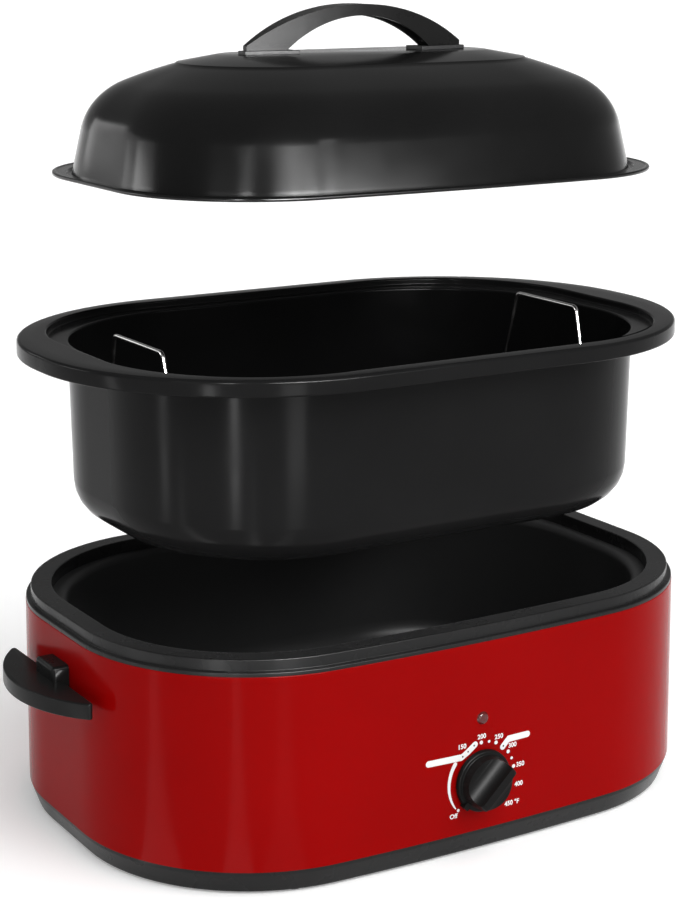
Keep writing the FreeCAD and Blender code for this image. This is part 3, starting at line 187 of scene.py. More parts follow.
def keep_mesh(name, mesh, finish):
    """A mesh becomes a piece of the scene: smooth, creased by angle, with its one finish."""
    mesh.name = name
    mesh.materials.clear()
    mesh.materials.append(finish)
    mesh.shade_smooth()
    mesh.set_sharp_from_angle(angle=CREASE)
    return linked(name, mesh)


def ringed(name, rings, finish, closed):
    """Join rings of equal count; closed joins the last to the first, else both ends are capped."""
    shape = bmesh.new()
    loops = [[shape.verts.new(point) for point in ring] for ring in rings]
    pairs = list(zip(loops, loops[1:]))
    if closed:
        pairs.append((loops[-1], loops[0]))
    for low, high in pairs:
        for i in range(len(low)):
            j = (i + 1) % len(low)
            shape.faces.new((low[i], low[j], high[j], high[i]))
    if not closed:
        shape.faces.new(reversed(loops[0]))
        shape.faces.new(loops[-1])
    bmesh.ops.recalc_face_normals(shape, faces=shape.faces)
    piece = keep_mesh(name, as_mesh(shape, name), finish)
    print(name, "faces", len(piece.data.polygons))
    return piece


def wrap(name, outline, corners, finish):
    """Carry one closed profile round an outline."""
    rings = [outline.inset(inset).ring(z) for inset, z in rounded(corners, closed=True)]
    return ringed(name, rings, finish, closed=True)


def stacked(name, stations, finish, lift=0.0):
    """Join stretches of profile that belong to different outlines, from middle to middle."""
    rings = []
    for outline, corners in stations:
        rings += [outline.inset(inset).ring(z + lift) for inset, z in rounded(corners)]
    return ringed(name, rings, finish, closed=False)


def stands_for(piece, body, slot, *replaced):
    """The piece moves with its body and hides the solids it replaces. Its slot is not used."""
    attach(piece, body)
    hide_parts(*replaced)


print("creases start at", round(math.degrees(CREASE)), "degrees")

# %% [markdown]
# ## Finishes
# Each finish is a Principled shader whose colour, roughness and bump come from noise at the scale
# of the real surface. Object coordinates are used throughout: the pieces sit at the origin, so a
# pattern stays on its piece when the piece moves. One helper lays out the nodes, because all the
# finishes differ only in their numbers.


# %% The helper for finishes
def finish_nodes(name):
    material = bpy.data.materials.new(name)
    material.use_nodes = True
    tree = material.node_tree
    tree.nodes.clear()
    output = tree.nodes.new("ShaderNodeOutputMaterial")
    shader = tree.nodes.new("ShaderNodeBsdfPrincipled")
    tree.links.new(shader.outputs["BSDF"], output.inputs["Surface"])
    coords = tree.nodes.new("ShaderNodeTexCoord")
    return material, tree, shader, coords


def noise(tree, coords, scale, detail=3.0, stretch=(1, 1, 1)):
    mapping = tree.nodes.new("ShaderNodeMapping")
    mapping.inputs["Scale"].default_value = stretch
    tree.links.new(coords.outputs["Object"], mapping.inputs["Vector"])
    texture = tree.nodes.new("ShaderNodeTexNoise")
    texture.inputs["Scale"].default_value = scale
    texture.inputs["Detail"].default_value = detail
    tree.links.new(mapping.outputs["Vector"], texture.inputs["Vector"])
    return texture.outputs["Fac"]


def between(tree, factor, low, high, socket, edges=(0.3, 0.7)):
    """Spread a noise between two colours or two plain values."""
    if isinstance(low, tuple):
        ramp = tree.nodes.new("ShaderNodeValToRGB")
        ramp.color_ramp.elements[0].position, ramp.color_ramp.elements[1].position = edges
        ramp.color_ramp.elements[0].color = (*low, 1)
        ramp.color_ramp.elements[1].color = (*high, 1)
        tree.links.new(factor, ramp.inputs["Fac"])
        tree.links.new(ramp.outputs["Color"], socket)
        return
    spread = tree.nodes.new("ShaderNodeMapRange")
    spread.inputs["From Min"].default_value, spread.inputs["From Max"].default_value = edges
    spread.inputs["To Min"].default_value = low
    spread.inputs["To Max"].default_value = high
    tree.links.new(factor, spread.inputs["Value"])
    tree.links.new(spread.outputs["Result"], socket)


def bump(tree, factor, shader, depth):
    relief = tree.nodes.new("ShaderNodeBump")
    relief.inputs["Strength"].default_value = 1.0
    relief.inputs["Distance"].default_value = depth
    tree.links.new(factor, relief.inputs["Height"])
    tree.links.new(relief.outputs["Normal"], shader.inputs["Normal"])


def surface(name, dark, light, rough, grain, bump_depth, patch=9.0, metal=0.0, stretch=(1, 1, 1),
            **constants):
    """A finish with soft colour patches, uneven gloss and a fine relief.

    dark and light are the two ends of its colour, rough the two ends of its roughness, grain the
    scale of the relief and bump_depth its depth in metres. The gloss changes finer than the colour."""
    material, tree, shader, coords = finish_nodes(name)
    between(tree, noise(tree, coords, patch), dark, light, shader.inputs["Base Color"])
    between(tree, noise(tree, coords, patch * 3, 4.0, stretch), *rough, shader.inputs["Roughness"])
    bump(tree, noise(tree, coords, grain, 2.0, stretch), shader, bump_depth)
    shader.inputs["Metallic"].default_value = metal
    for socket, value in constants.items():
        shader.inputs[socket.replace("_", " ")].default_value = value
    return material


# %% [markdown]
# ### The finishes that show
# The body is painted: a deep red under a clear gloss, with the faint orange-peel of sprayed paint.
# Pan and lid are vitreous enamel, glossier and almost black. Rim, base and handles are moulded
# plastic with a fine matt grain. Their colours are written as the dark end and the light end of
# what one sees in an even light. The well's near-black enamel is painted lighter than the pan's, a
# painted fill that lifts the shade deep inside the well. A low specular level keeps the pale floor,
# which every wall mirrors at a flat angle, from veiling the deep colours.

# %% Paint, enamel and plastic
red_paint = surface("red_paint", (0.275, 0.0011, 0.0011), (0.300, 0.0014, 0.0014), (0.15, 0.21),
                    420, 0.000002, Specular_IOR_Level=0.03)
dark_plastic = surface("dark_plastic", (0.013, 0.013, 0.0132), (0.017, 0.017, 0.0172), (0.24, 0.32),
                       1500, 0.000003, Specular_IOR_Level=0.14)
pan_black = surface("pan_black", (0.0100, 0.0100, 0.0102), (0.0130, 0.0130, 0.0132), (0.14, 0.20),
                    300, 0.000003, Specular_IOR_Level=0.04)
# painted fill: the well's near-black enamel is lighter than the pan's to lift the shade inside it
well_black_with_painted_fill = surface("well_black_with_painted_fill", (0.038, 0.038, 0.0384), (0.045, 0.045, 0.0454), (0.28, 0.36),
                     300, 0.000003, Specular_IOR_Level=0.05)
lid_black = surface("lid_black", (0.0060, 0.0060, 0.0060), (0.0080, 0.0080, 0.0080), (0.14, 0.19),
                    260, 0.000003, Specular_IOR_Level=0.20)
handle_black = surface("handle_black", (0.007, 0.007, 0.007), (0.010, 0.010, 0.010), (0.24, 0.34),
                       900, 0.000006, Specular_IOR_Level=0.10)
knob_black = surface("knob_black", (0.006, 0.006, 0.006), (0.009, 0.009, 0.009), (0.36, 0.44),
                     900, 0.000004, Specular_IOR_Level=0.07)
white_print = surface("white_print", (0.82, 0.82, 0.81), (0.90, 0.90, 0.89), (0.40, 0.50),
                      2500, 0.000004)
dark_print = surface("dark_print", (0.010, 0.010, 0.010), (0.016, 0.016, 0.016), (0.40, 0.50),
                     2500, 0.000004)
print("paint, enamel and plastic", len(bpy.data.materials))

# %% [markdown]
# ### Wire, rubber and what is inside
# The rack is plated wire, so it is a bright metal with a fine grain. The inner pieces are hardly
# ever seen, but each still gets what it is made of: aluminised sheet, glass fibre, woven sleeve,
# ceramic, brass and zinc.

# %% Metals and inner materials
plated_wire = surface("plated_wire", (0.62, 0.61, 0.60), (0.74, 0.73, 0.72), (0.10, 0.20),
                      700, 0.000004, patch=40, metal=1.0)
aluminised = surface("aluminised", (0.52, 0.53, 0.54), (0.66, 0.67, 0.68), (0.26, 0.38),
                     220, 0.00001, patch=30, metal=1.0)
zinc_sheet = surface("zinc_sheet", (0.36, 0.37, 0.38), (0.52, 0.53, 0.54), (0.34, 0.50),
                     160, 0.00001, patch=60, metal=1.0)
screw_zinc = surface("screw_zinc", (0.42, 0.42, 0.43), (0.56, 0.56, 0.57), (0.24, 0.36),
                     900, 0.00001, patch=200, metal=1.0)
brass = surface("brass", (0.52, 0.34, 0.12), (0.64, 0.43, 0.17), (0.22, 0.34),
                900, 0.000006, patch=160, metal=1.0)
glass_fibre = surface("glass_fibre", (0.50, 0.46, 0.36), (0.68, 0.64, 0.52), (0.85, 0.95),
                      500, 0.0006, patch=60, stretch=(1, 1, 4))
black_rubber = surface("black_rubber", (0.012, 0.012, 0.012), (0.022, 0.022, 0.022), (0.62, 0.74),
                       1200, 0.00003, patch=60)
dark_silicone = surface("dark_silicone", (0.012, 0.012, 0.013), (0.020, 0.020, 0.021),
                        (0.48, 0.60), 1200, 0.00002, patch=60)
steatite = surface("steatite", (0.62, 0.59, 0.52), (0.74, 0.71, 0.64), (0.50, 0.62),
                   800, 0.00002, patch=80)
sleeving = surface("sleeving", (0.46, 0.40, 0.28), (0.60, 0.54, 0.40), (0.70, 0.82),
                   1800, 0.0001, patch=120)
lamp_tube = surface("lamp_tube", (0.60, 0.24, 0.10), (0.70, 0.32, 0.14), (0.08, 0.14),
                    600, 0.000004, patch=120, Transmission_Weight=0.6, IOR=1.47)
lens_red = surface("lens_red", (0.11, 0.012, 0.012), (0.15, 0.020, 0.018), (0.10, 0.16),
                   1400, 0.00002, patch=300, Transmission_Weight=0.25, IOR=1.49)
FINISHED_SOLIDS = (
    (zinc_sheet, ("heater_band", "bottom_plate", "stud_spacer", "thermostat_bracket",
                  "handle_backing_plates")),
    (screw_zinc, ("bottom_plate_screws", "hold_down_stud", "hold_down_nut", "thermostat_screws",
                  "lens_clip", "handle_screws", "thermostat_shaft", "lid_handle_washers",
                  "lid_handle_screws")),
    (brass, ("heater_terminals", "thermostat_probe", "knob_insert")),
    (glass_fibre, ("insulation_blanket", "insulation_pad")),
    (aluminised, ("reflector_plate",)),
    (black_rubber, ("rubber_feet", "cord_bushing")),
    (steatite, ("thermostat_body", "thermal_fuse", "terminal_block")),
    (sleeving, ("wiring_harness",)),
    (lamp_tube, ("neon_lamp",)),
    (lens_red, ("indicator_lens",)),
)
for finish, solids in FINISHED_SOLIDS:
    for node_name in solids:
        mesh = nodes[node_name].data
        mesh.materials.clear()
        mesh.materials.append(finish)
print("solids that only took a finish", sum(len(solids) for _, solids in FINISHED_SOLIDS))

# %% [markdown]
# ## The painted body
# The shell is one wrap of sheet with a hem turned in at its top. Under it stands the moulded base,
# which tapers in to the table, and on it the moulded rim: a lip flush with the paint and then a
# step in to the flat ring that carries the pan. The heights below are millimetres above the table.

# %% Shell, base and rim
BODY = Outline(520.0, 370.0, 146.0, 2120.0)
SHEET = 1.0
SHELL_Z, SHELL_TOP, LIP_TOP, RIM_TOP = 19.0, 165.5, 168.5, 177.0
FLANGE_TOP = SHELL_TOP + SHEET  # the well's flange lies on the shell's hem
RIM_UNDER = RIM_TOP - 3.0

shell = wrap("painted_shell", BODY, [
    (0, SHELL_Z), (0, SHELL_TOP, 0.8), (8.0, SHELL_TOP), (8.0, SHELL_TOP - SHEET),
    (SHEET, SHELL_TOP - SHEET), (SHEET, SHELL_Z),
], red_paint)
stands_for(shell, "body", "red_enamel", "outer_shell")

base = wrap("moulded_base", BODY, [
    (6.4, 1.5, 2.0), (1.0, 16.0, 2.5), (0.6, SHELL_Z), (1.3, SHELL_Z), (1.3, 25.0), (4.0, 25.0),
    (4.0, 16.0), (9.1, 4.5), (24.1, 4.5), (24.1, 1.5),
], dark_plastic)
stands_for(base, "body", "black_plastic", "base_ring")

rim = wrap("moulded_rim", BODY, [
    (0.3, SHELL_TOP), (0.3, LIP_TOP, 0.9), (4.2, LIP_TOP, 0.6), (4.2, RIM_TOP, 0.9),
    (20.5, RIM_TOP, 0.8), (20.5, FLANGE_TOP), (17.5, FLANGE_TOP), (17.5, RIM_UNDER),
    (7.2, RIM_UNDER), (7.2, FLANGE_TOP), (2.7, FLANGE_TOP), (2.7, SHELL_TOP),
], dark_plastic)
stands_for(rim, "body", "black_plastic", "top_rim")

# %% [markdown]
# ## The heated well
# The liner hangs from a flange on the shell's hem, turns down over a rounded mouth and ends in a
# flat floor. It is one sheet, so the profile goes out along its lower face, from the middle of the
# floor to the flange, and comes back along its upper face.

# %% Cooking well
WELL = Outline(459.0, 319.2, 136.0)
WELL_FLOOR, WELL_FLOOR_INSET = 38.0, 29.0
well = stacked("enamelled_well", [
    (WELL, [(WELL_FLOOR_INSET, WELL_FLOOR - SHEET), (-SHEET, WELL_FLOOR - SHEET, 26.0),
            (-SHEET, SHELL_TOP, 5.0), (-7.0, SHELL_TOP)]),
    (BODY, [(12.0, SHELL_TOP), (3.0, SHELL_TOP), (3.0, FLANGE_TOP), (12.0, FLANGE_TOP)]),
    (WELL, [(-7.0, FLANGE_TOP), (0, FLANGE_TOP, 6.0), (0, WELL_FLOOR, 25.0),
            (WELL_FLOOR_INSET, WELL_FLOOR)]),
], well_black_with_painted_fill)
stands_for(well, "body", "dark_enamel", "cooking_well")

# %% [markdown]
# ## The roasting pan
# Its rim is rolled at the edge and much wider at the ends, where it serves as a handle. A ledge
# just below the rim carries the lid. The walls lean in a little so that the pan lifts out, and the
# floor has a large radius so that a spoon reaches the corners. All of it is one drawn sheet, shown
# here 189 mm above its seat.

# %% Roasting pan
PAN_LIFT = 189.0
PAN_RIM = Outline(544.5, 365.4, 176.0)
PAN_MOUTH = Outline(477.0, 334.0, 130.5)
PAN_WALL = Outline(452.6, 313.0, 133.0)
RIM_LOW, RIM_HIGH, LEDGE, FLOOR = 177.2, 189.8, 183.8, 44.6
DRAFT, FLOOR_R, FLOOR_INSET, HEM, LIP = 3.7, 30.0, 36.7, 14.0, 20.2
pan = stacked("drawn_pan", [
    (PAN_WALL, [(FLOOR_INSET, FLOOR - SHEET), (DRAFT, FLOOR - SHEET, FLOOR_R),
                (0, LEDGE - SHEET, 0.6), (-3.0, LEDGE - SHEET)]),
    (PAN_MOUTH, [(2.0, LEDGE - SHEET), (-SHEET, LEDGE - SHEET, 1.4), (-SHEET, RIM_HIGH - SHEET, 0.4),
                 (-1.5, RIM_HIGH - SHEET)]),
    (PAN_RIM, [(HEM, RIM_HIGH - SHEET), (SHEET, RIM_HIGH - SHEET, 1.6),
               (SHEET, RIM_LOW + SHEET, 0.6), (HEM, RIM_LOW + SHEET)]),
    (BODY, [(LIP, RIM_LOW + SHEET), (LIP, RIM_LOW)]),
    (PAN_RIM, [(HEM, RIM_LOW), (0, RIM_LOW, 1.6), (0, RIM_HIGH, 2.6), (HEM, RIM_HIGH)]),
    (PAN_MOUTH, [(-1.6, RIM_HIGH), (0, RIM_HIGH, 1.4), (0, LEDGE, 1.2), (2.5, LEDGE)]),
    (PAN_WALL, [(-2.0, LEDGE), (SHEET, LEDGE, 1.6), (DRAFT + SHEET, FLOOR, FLOOR_R - SHEET),
                (FLOOR_INSET, FLOOR)]),
], pan_black, lift=PAN_LIFT)
stands_for(pan, "pan", "pan_enamel", "roasting_pan")

# %% [markdown]
# ## The lid
# The stamped lid starts with a rolled bead, a flat flange and a groove at the foot of the dome. The
# wall rises steeply, bends over a wide shoulder, slopes to a crease and ends in a raised flat panel
# under the handle. Its plan changes on the way up, from bowed sides to a narrow oval, so each ring
# of the dome has its own outline. The inside is the same dome, one sheet thickness smaller.

# %% Lid
LID_LIFT = PAN_LIFT + 128.0
LID_LENGTH, LID_WIDTH, LID_SIDE_R = 456.8, 322.8, 2353.0
LID_EDGE = Outline(LID_LENGTH, LID_WIDTH, 112.0, LID_SIDE_R)
FLANGE = 10.0
DOME_CORNER_R = 119.0
DOME_FOOT = Outline(LID_LENGTH - 2 * FLANGE, LID_WIDTH - 2 * FLANGE, DOME_CORNER_R,
                    LID_SIDE_R - FLANGE)
WALL_RUN, WALL_RISE, SHOULDER_R, DOME_RUN, DOME_RISE = 12.0, 63.5, 51.0, 70.0, 86.5
SLOPE_R, CREASE_ANGLE = 300.0, math.radians(18.0)
CREASE_WIDTH, CREASE_CORNER_R, STEP = 152.0, 75.0, 1.0
PANEL_LENGTH, PANEL_WIDTH, PANEL_CORNER_R, PANEL_RISE = 232.0, 92.0, 43.0, 5.5
LID_Z = 184.0
CREASE_Z = LID_Z + DOME_RISE
PANEL_Z = CREASE_Z + STEP + PANEL_RISE


def dome_outline(run, shrink):
    """The outline as far in as run: narrower and rounder from the foot to the crease."""
    share = run / DOME_RUN
    width = 2 * DOME_FOOT.half_width * (1 - share) + CREASE_WIDTH * share
    corner = DOME_CORNER_R * (1 - share) + CREASE_CORNER_R * share
    return Outline(2 * (DOME_FOOT.half_length - run), width, corner, DOME_FOOT.side_r).inset(shrink)


def arc(centre, radius, first, last, count):
    """Points round centre, at angles counted from straight up towards the foot."""
    angles = [first + (last - first) * k / count for k in range(count + 1)]
    return [(centre.x - radius * math.sin(angle), centre.y + radius * math.cos(angle))
            for angle in angles]


def dome_section():
    """(run, rise) from just above the foot to the crease: wall, shoulder, and a slope that swells."""
    slope = Vector((DOME_RUN + SLOPE_R * math.sin(CREASE_ANGLE),
                    DOME_RISE - SLOPE_R * math.cos(CREASE_ANGLE)))
    wall = math.atan2(WALL_RISE, WALL_RUN)
    along = Vector((math.cos(wall), math.sin(wall)))
    # the shoulder's centre lies its radius inside the wall, and inside the slope's arc
    inside = Vector((math.sin(wall), -math.cos(wall))) * SHOULDER_R
    off = inside - slope
    spare = off.length_squared - (SLOPE_R - SHOULDER_R) ** 2
    shoulder = inside + along * (-off.dot(along) + math.sqrt(off.dot(along) ** 2 - spare))
    meet = math.atan2(slope.x - shoulder.x, shoulder.y - slope.y)
    return ([(WALL_RUN / 10, WALL_RISE / 10)] + arc(shoulder, SHOULDER_R, wall, meet, 20)
            + arc(slope, SLOPE_R, meet, CREASE_ANGLE, 8)[1:])


def dome_rings(shrink):
    """Rings from the foot of the dome to its panel, shrink inside the outer skin."""
    rings = [dome_outline(run, shrink).ring(LID_Z + rise - shrink + LID_LIFT)
             for run, rise in dome_section()]
    step = dome_outline(DOME_RUN, shrink + STEP)
    rings.append(step.ring(CREASE_Z + STEP - shrink + LID_LIFT))
    panel = Outline(PANEL_LENGTH, PANEL_WIDTH, PANEL_CORNER_R, LID_SIDE_R).inset(shrink)
    rings.append(panel.ring(PANEL_Z - shrink + LID_LIFT))
    return rings


def lid_part(outline, corners):
    """Rings along one outline, lifted with the lid."""
    return [outline.inset(i).ring(z + LID_LIFT) for i, z in rounded(corners)]


FLAT_LOW = LID_Z + 1.6          # underside of the flat flange
FLAT_TOP = FLAT_LOW + SHEET
BEAD_TOP = LID_Z + 3.0
lid_rings = list(reversed(dome_rings(SHEET)))
lid_rings += lid_part(DOME_FOOT, [(SHEET, LID_Z + 2.0), (SHEET, LID_Z, 0.8), (-3.6, LID_Z, 0.8),
                                  (-4.0, FLAT_LOW)])
lid_rings += lid_part(LID_EDGE, [(3.0, FLAT_LOW), (3.0, LID_Z, 0.6), (0, LID_Z, 1.3),
                                 (0, BEAD_TOP, 1.3), (3.0, BEAD_TOP, 0.6),
                                 (3.6, FLAT_TOP, 0.3), (5.0, FLAT_TOP)])
lid_rings += lid_part(DOME_FOOT, [(-4.6, FLAT_TOP), (-4.0, FLAT_TOP, 0.4),
                                  (-3.0, LID_Z + SHEET, 0.4), (0.2, LID_Z + SHEET, 0.6),
                                  (0.76, LID_Z + 4.0)])
lid_rings += dome_rings(0)
lid = ringed("stamped_lid", lid_rings, lid_black, closed=False)
stands_for(lid, "lid", "lid_enamel", "lid_shell")

# %% [markdown]
# ## Mouldings that keep the solid's shape
# Knob, lid handle, side handles and the pads under the lid handle already have the right shape as
# solids. What they lack is the small radius that every moulded edge has, which catches the light.
# A merged copy of the solid gets it from a Bevel modifier, limited to the sharp edges.


# %% Copy a solid and soften its edges
def softened(name, node_name, finish, edge, body, slot):
    shape = bmesh.new()
    shape.from_mesh(nodes[node_name].data)
    bmesh.ops.remove_doubles(shape, verts=shape.verts, dist=0.00001)
    bmesh.ops.dissolve_limit(shape, angle_limit=math.radians(1.0), verts=shape.verts,
                             edges=shape.edges)
    piece = keep_mesh(name, as_mesh(shape, name), finish)
    bevel = piece.modifiers.new("moulded edge", "BEVEL")
    bevel.width = edge * MM
    bevel.segments = 2
    bevel.limit_method = "ANGLE"
    bevel.angle_limit = math.radians(35)
    bevel.harden_normals = True
    bevel.use_clamp_overlap = True
    stands_for(piece, body, slot, node_name)
    print(name, "faces", len(piece.data.polygons))


softened("dial_knob", "control_knob", knob_black, 0.5, "knob", "knob_plastic")
softened("lid_grip", "lid_handle", handle_black, 0.7, "lid", "handle_plastic")
softened("lid_grip_pads", "lid_handle_gaskets", dark_silicone, 0.4, "lid", "gasket_rubber")
softened("side_grip_right", "side_handle_right", handle_black, 0.3, "body", "handle_plastic")
softened("side_grip_left", "side_handle_left", handle_black, 0.3, "body", "handle_plastic")

# %% [markdown]
# ## Wire work by rule
# The rack is bent and welded wire: an oval frame, two long stays, eleven cross wires that each
# reach the oval where they lie, and a lifting loop at both ends. A rule says where every wire goes,
# so node trees make them. These helpers build such a tree and run it once.


# %% Helpers for node trees
def new_tree(name, inputs):
    """A tree, the sockets that bring in its sizes, and its output node."""
    tree = bpy.data.node_groups.new(name, "GeometryNodeTree")
    tree.interface.new_socket("Geometry", in_out="INPUT", socket_type="NodeSocketGeometry")
    for label, kind in inputs.items():
        tree.interface.new_socket(label, in_out="INPUT", socket_type="NodeSocket" + kind)
    tree.interface.new_socket("Geometry", in_out="OUTPUT", socket_type="NodeSocketGeometry")
    return tree, tree.nodes.new("NodeGroupInput").outputs, tree.nodes.new("NodeGroupOutput")


def step(tree, kind, settings=None, **sockets):
    """Add one node; each socket takes another node's output or a plain value. A socket is called
    by its name, or i0, i1 and so on by its place."""
    made = tree.nodes.new(kind)
    for key, value in (settings or {}).items():
        setattr(made, key, value)
    for label, value in sockets.items():
        numbered = label[0] == "i" and label[1:].isdigit()
        socket = made.inputs[int(label[1:]) if numbered else label.replace("_", " ")]
        if isinstance(value, bpy.types.NodeSocket):
            tree.links.new(value, socket)
        else:
            socket.default_value = value
    return made


def sums(tree, operation, first, second=0.0):
    return step(tree, "ShaderNodeMath", {"operation": operation}, i0=first, i1=second).outputs[0]


def finish_tree(tree, geometry, finish, output):
    """End a tree: real geometry with its one material."""
    real = step(tree, "GeometryNodeRealizeInstances", Geometry=geometry)
    coated = step(tree, "GeometryNodeSetMaterial", Geometry=real.outputs[0], Material=finish)
    tree.links.new(coated.outputs[0], output.inputs[0])


def plain_mesh(host):
    """The mesh that a host comes out as; its modifier and the host itself go."""
    graph = bpy.context.evaluated_depsgraph_get()
    mesh = bpy.data.meshes.new_from_object(host.evaluated_get(graph))
    host.modifiers.clear()
    bpy.data.objects.remove(host)
    return mesh


def grown(tree, start, settings):
    """Run a tree once on a starting mesh and return the result as a plain mesh."""
    host = linked("host", start)
    modifier = host.modifiers.new("grow", "NODES")
    modifier.node_group = tree
    for item in tree.interface.items_tree:
        if item.item_type == "SOCKET" and item.in_out == "INPUT" and item.name in settings:
            modifier[item.identifier] = settings[item.name]
    return plain_mesh(host)


def path_mesh(points, closed=False):
    """A path as bare edges, from points in millimetres."""
    mesh = bpy.data.meshes.new("path")
    count = len(points)
    edges = [(i, i + 1) for i in range(count - 1)] + ([(count - 1, 0)] if closed else [])
    mesh.from_pydata([place(*p) for p in points], edges, [])
    return mesh


# %% [markdown]
# ### The two wire trees
# One bends the corners of a drawn path and carries a circle along it. The other lays the cross
# wires in a row and works out the length of each from its distance to the middle.

# %% The two wire trees
WIRE_SIDES = 20


def wire_skin(tree, curve, radius):
    circle = step(tree, "GeometryNodeCurvePrimitiveCircle", Resolution=WIRE_SIDES, Radius=radius)
    skin = step(tree, "GeometryNodeCurveToMesh", Curve=curve, Profile_Curve=circle.outputs[0],
                Fill_Caps=True)
    return skin.outputs[0]


bent_wire, sizes, output = new_tree("bent_wire", {
    "Wire radius": "Float", "Bend radius": "Float", "Finish": "Material"})
curve = step(bent_wire, "GeometryNodeMeshToCurve", Mesh=sizes["Geometry"])
bends = step(bent_wire, "GeometryNodeFilletCurve", {"mode": "POLY"}, Curve=curve.outputs[0],
             Count=8, Radius=sizes["Bend radius"])
finish_tree(bent_wire, wire_skin(bent_wire, bends.outputs[0], sizes["Wire radius"]),
            sizes["Finish"], output)

tree, sizes, output = new_tree("cross_wires", {
    "Count": "Int", "Pitch": "Float", "Height": "Float", "Corner X": "Float", "Corner Y": "Float",
    "Corner radius": "Float", "Wire radius": "Float", "Finish": "Material"})
cross_wires = tree
gaps = sums(tree, "SUBTRACT", sizes["Count"], 1.0)
span = sums(tree, "MULTIPLY", gaps, sizes["Pitch"])
start = step(tree, "ShaderNodeCombineXYZ", X=sums(tree, "MULTIPLY", span, -0.5), Z=sizes["Height"])
pitch = step(tree, "ShaderNodeCombineXYZ", X=sizes["Pitch"])
row = step(tree, "GeometryNodeMeshLine", Count=sizes["Count"], Start_Location=start.outputs[0],
           Offset=pitch.outputs[0])
loose = step(tree, "GeometryNodeMeshToPoints", Mesh=row.outputs[0])
loose = step(tree, "GeometryNodePointsToVertices", Points=loose.outputs[0])
here = step(tree, "GeometryNodeInputPosition")
x, y, z = step(tree, "ShaderNodeSeparateXYZ", Vector=here.outputs[0]).outputs
past = sums(tree, "SUBTRACT", sums(tree, "ABSOLUTE", x), sizes["Corner X"])
past = sums(tree, "MAXIMUM", past, 0.0)
radius = sizes["Corner radius"]
squared = sums(tree, "SUBTRACT", sums(tree, "MULTIPLY", radius, radius),
               sums(tree, "MULTIPLY", past, past))
half = sums(tree, "ADD", sizes["Corner Y"], sums(tree, "SQRT", squared))
front = step(tree, "ShaderNodeCombineXYZ", X=x, Y=sums(tree, "MULTIPLY", half, -1.0), Z=z)
placed = step(tree, "GeometryNodeSetPosition", Geometry=loose.outputs[0],
              Position=front.outputs[0])
across = step(tree, "ShaderNodeCombineXYZ", Y=sums(tree, "MULTIPLY", y, -2.0))
drawn = step(tree, "GeometryNodeExtrudeMesh", {"mode": "VERTICES"}, Mesh=placed.outputs[0],
             Offset=across.outputs[0], Offset_Scale=1.0)
curve = step(tree, "GeometryNodeMeshToCurve", Mesh=drawn.outputs[0])
finish_tree(tree, wire_skin(tree, curve.outputs[0], sizes["Wire radius"]), sizes["Finish"], output)
print("trees", [group.name for group in bpy.data.node_groups])

# %% [markdown]
# ### The rack itself
# It stands in the lifted pan on four legs with round feet. The loops lean outwards from the frame
# until their tops stand just above the rim of the pan, where fingers can reach them.

# %% Rack
RACK_LENGTH, RACK_WIDTH, CROSS_COUNT = 382.0, 236.0, 11
RACK = Outline(RACK_LENGTH, RACK_WIDTH, 66.0)
FRAME_WIRE, THIN_WIRE, LEG_WIRE, LOOP_WIRE = 4.0, 3.0, 3.6, 3.2
RACK_Z = FLOOR + 12.0 + PAN_LIFT
STAY_Y, LEG_X = RACK_WIDTH / 5, RACK_LENGTH / 4
FOOT_Z, FOOT_THICK = FLOOR + PAN_LIFT + 0.2, 1.5


def merged(meshes):
    """Put several meshes into one bmesh."""
    shape = bmesh.new()
    for mesh in meshes:
        shape.from_mesh(mesh)
        bpy.data.meshes.remove(mesh)
    return shape


def wire(points, diameter, bend=0.0, closed=False):
    return grown(bent_wire, path_mesh(points, closed), {
        "Wire radius": diameter / 2 * MM, "Bend radius": bend * MM, "Finish": plated_wire})


frame_wires = [wire(RACK.loop(RACK_Z), FRAME_WIRE, closed=True)]
for y in (-STAY_Y, STAY_Y):
    stay = [(-RACK.half_length, y, RACK_Z), (RACK.half_length, y, RACK_Z)]
    frame_wires.append(wire(stay, THIN_WIRE))
    for x in (-LEG_X, LEG_X):
        foot = [(x, y, FOOT_Z), (x, y, FOOT_Z + FOOT_THICK)]
        leg = [(x, y, FOOT_Z + FOOT_THICK - 0.1), (x, y, RACK_Z)]
        frame_wires.append(wire(foot, 2 * FRAME_WIRE))
        frame_wires.append(wire(leg, LEG_WIRE))
rack = keep_mesh("rack_oval", as_mesh(merged(frame_wires), "rack_oval"), plated_wire)
stands_for(rack, "rack", "rack_chrome", "rack_frame")

bars = grown(cross_wires, bpy.data.meshes.new("start"), {
    "Count": CROSS_COUNT, "Pitch": RACK_LENGTH / (CROSS_COUNT + 1) * MM,
    "Height": (RACK_Z + FRAME_WIRE / 2 + THIN_WIRE / 2 + 0.1) * MM,
    "Corner X": RACK.corner_x * MM, "Corner Y": RACK.corner_y * MM,
    "Corner radius": RACK.corner_r * MM, "Wire radius": THIN_WIRE / 2 * MM, "Finish": plated_wire})
bars.transform(Matrix.Translation(place(0, 0, 0)))
bars = keep_mesh("rack_bars", bars, plated_wire)
stands_for(bars, "rack", "rack_chrome", "rack_cross_wires")

FOOT_HALF, TOP_HALF = 76.0, 41.0
foot_x = RACK.corner_x + math.sqrt(RACK.corner_r ** 2 - (FOOT_HALF - RACK.corner_y) ** 2)
loop_low = RACK_Z + FRAME_WIRE / 2 + 0.45
loop_high = RIM_HIGH + PAN_LIFT + 0.5
loop_wires = []
for side in (-1, 1):
    loop_wires.append(wire([
        (side * foot_x, -FOOT_HALF, loop_low), (side * RACK.half_length, -TOP_HALF, loop_high),
        (side * RACK.half_length, TOP_HALF, loop_high), (side * foot_x, FOOT_HALF, loop_low),
    ], LOOP_WIRE, bend=5.0))
loops = keep_mesh("rack_lifting_loops", as_mesh(merged(loop_wires), "rack_lifting_loops"),
                  plated_wire)
stands_for(loops, "rack", "rack_chrome", "rack_loops")
print("rack faces", sum(len(o.data.polygons) for o in (rack, bars, loops)))

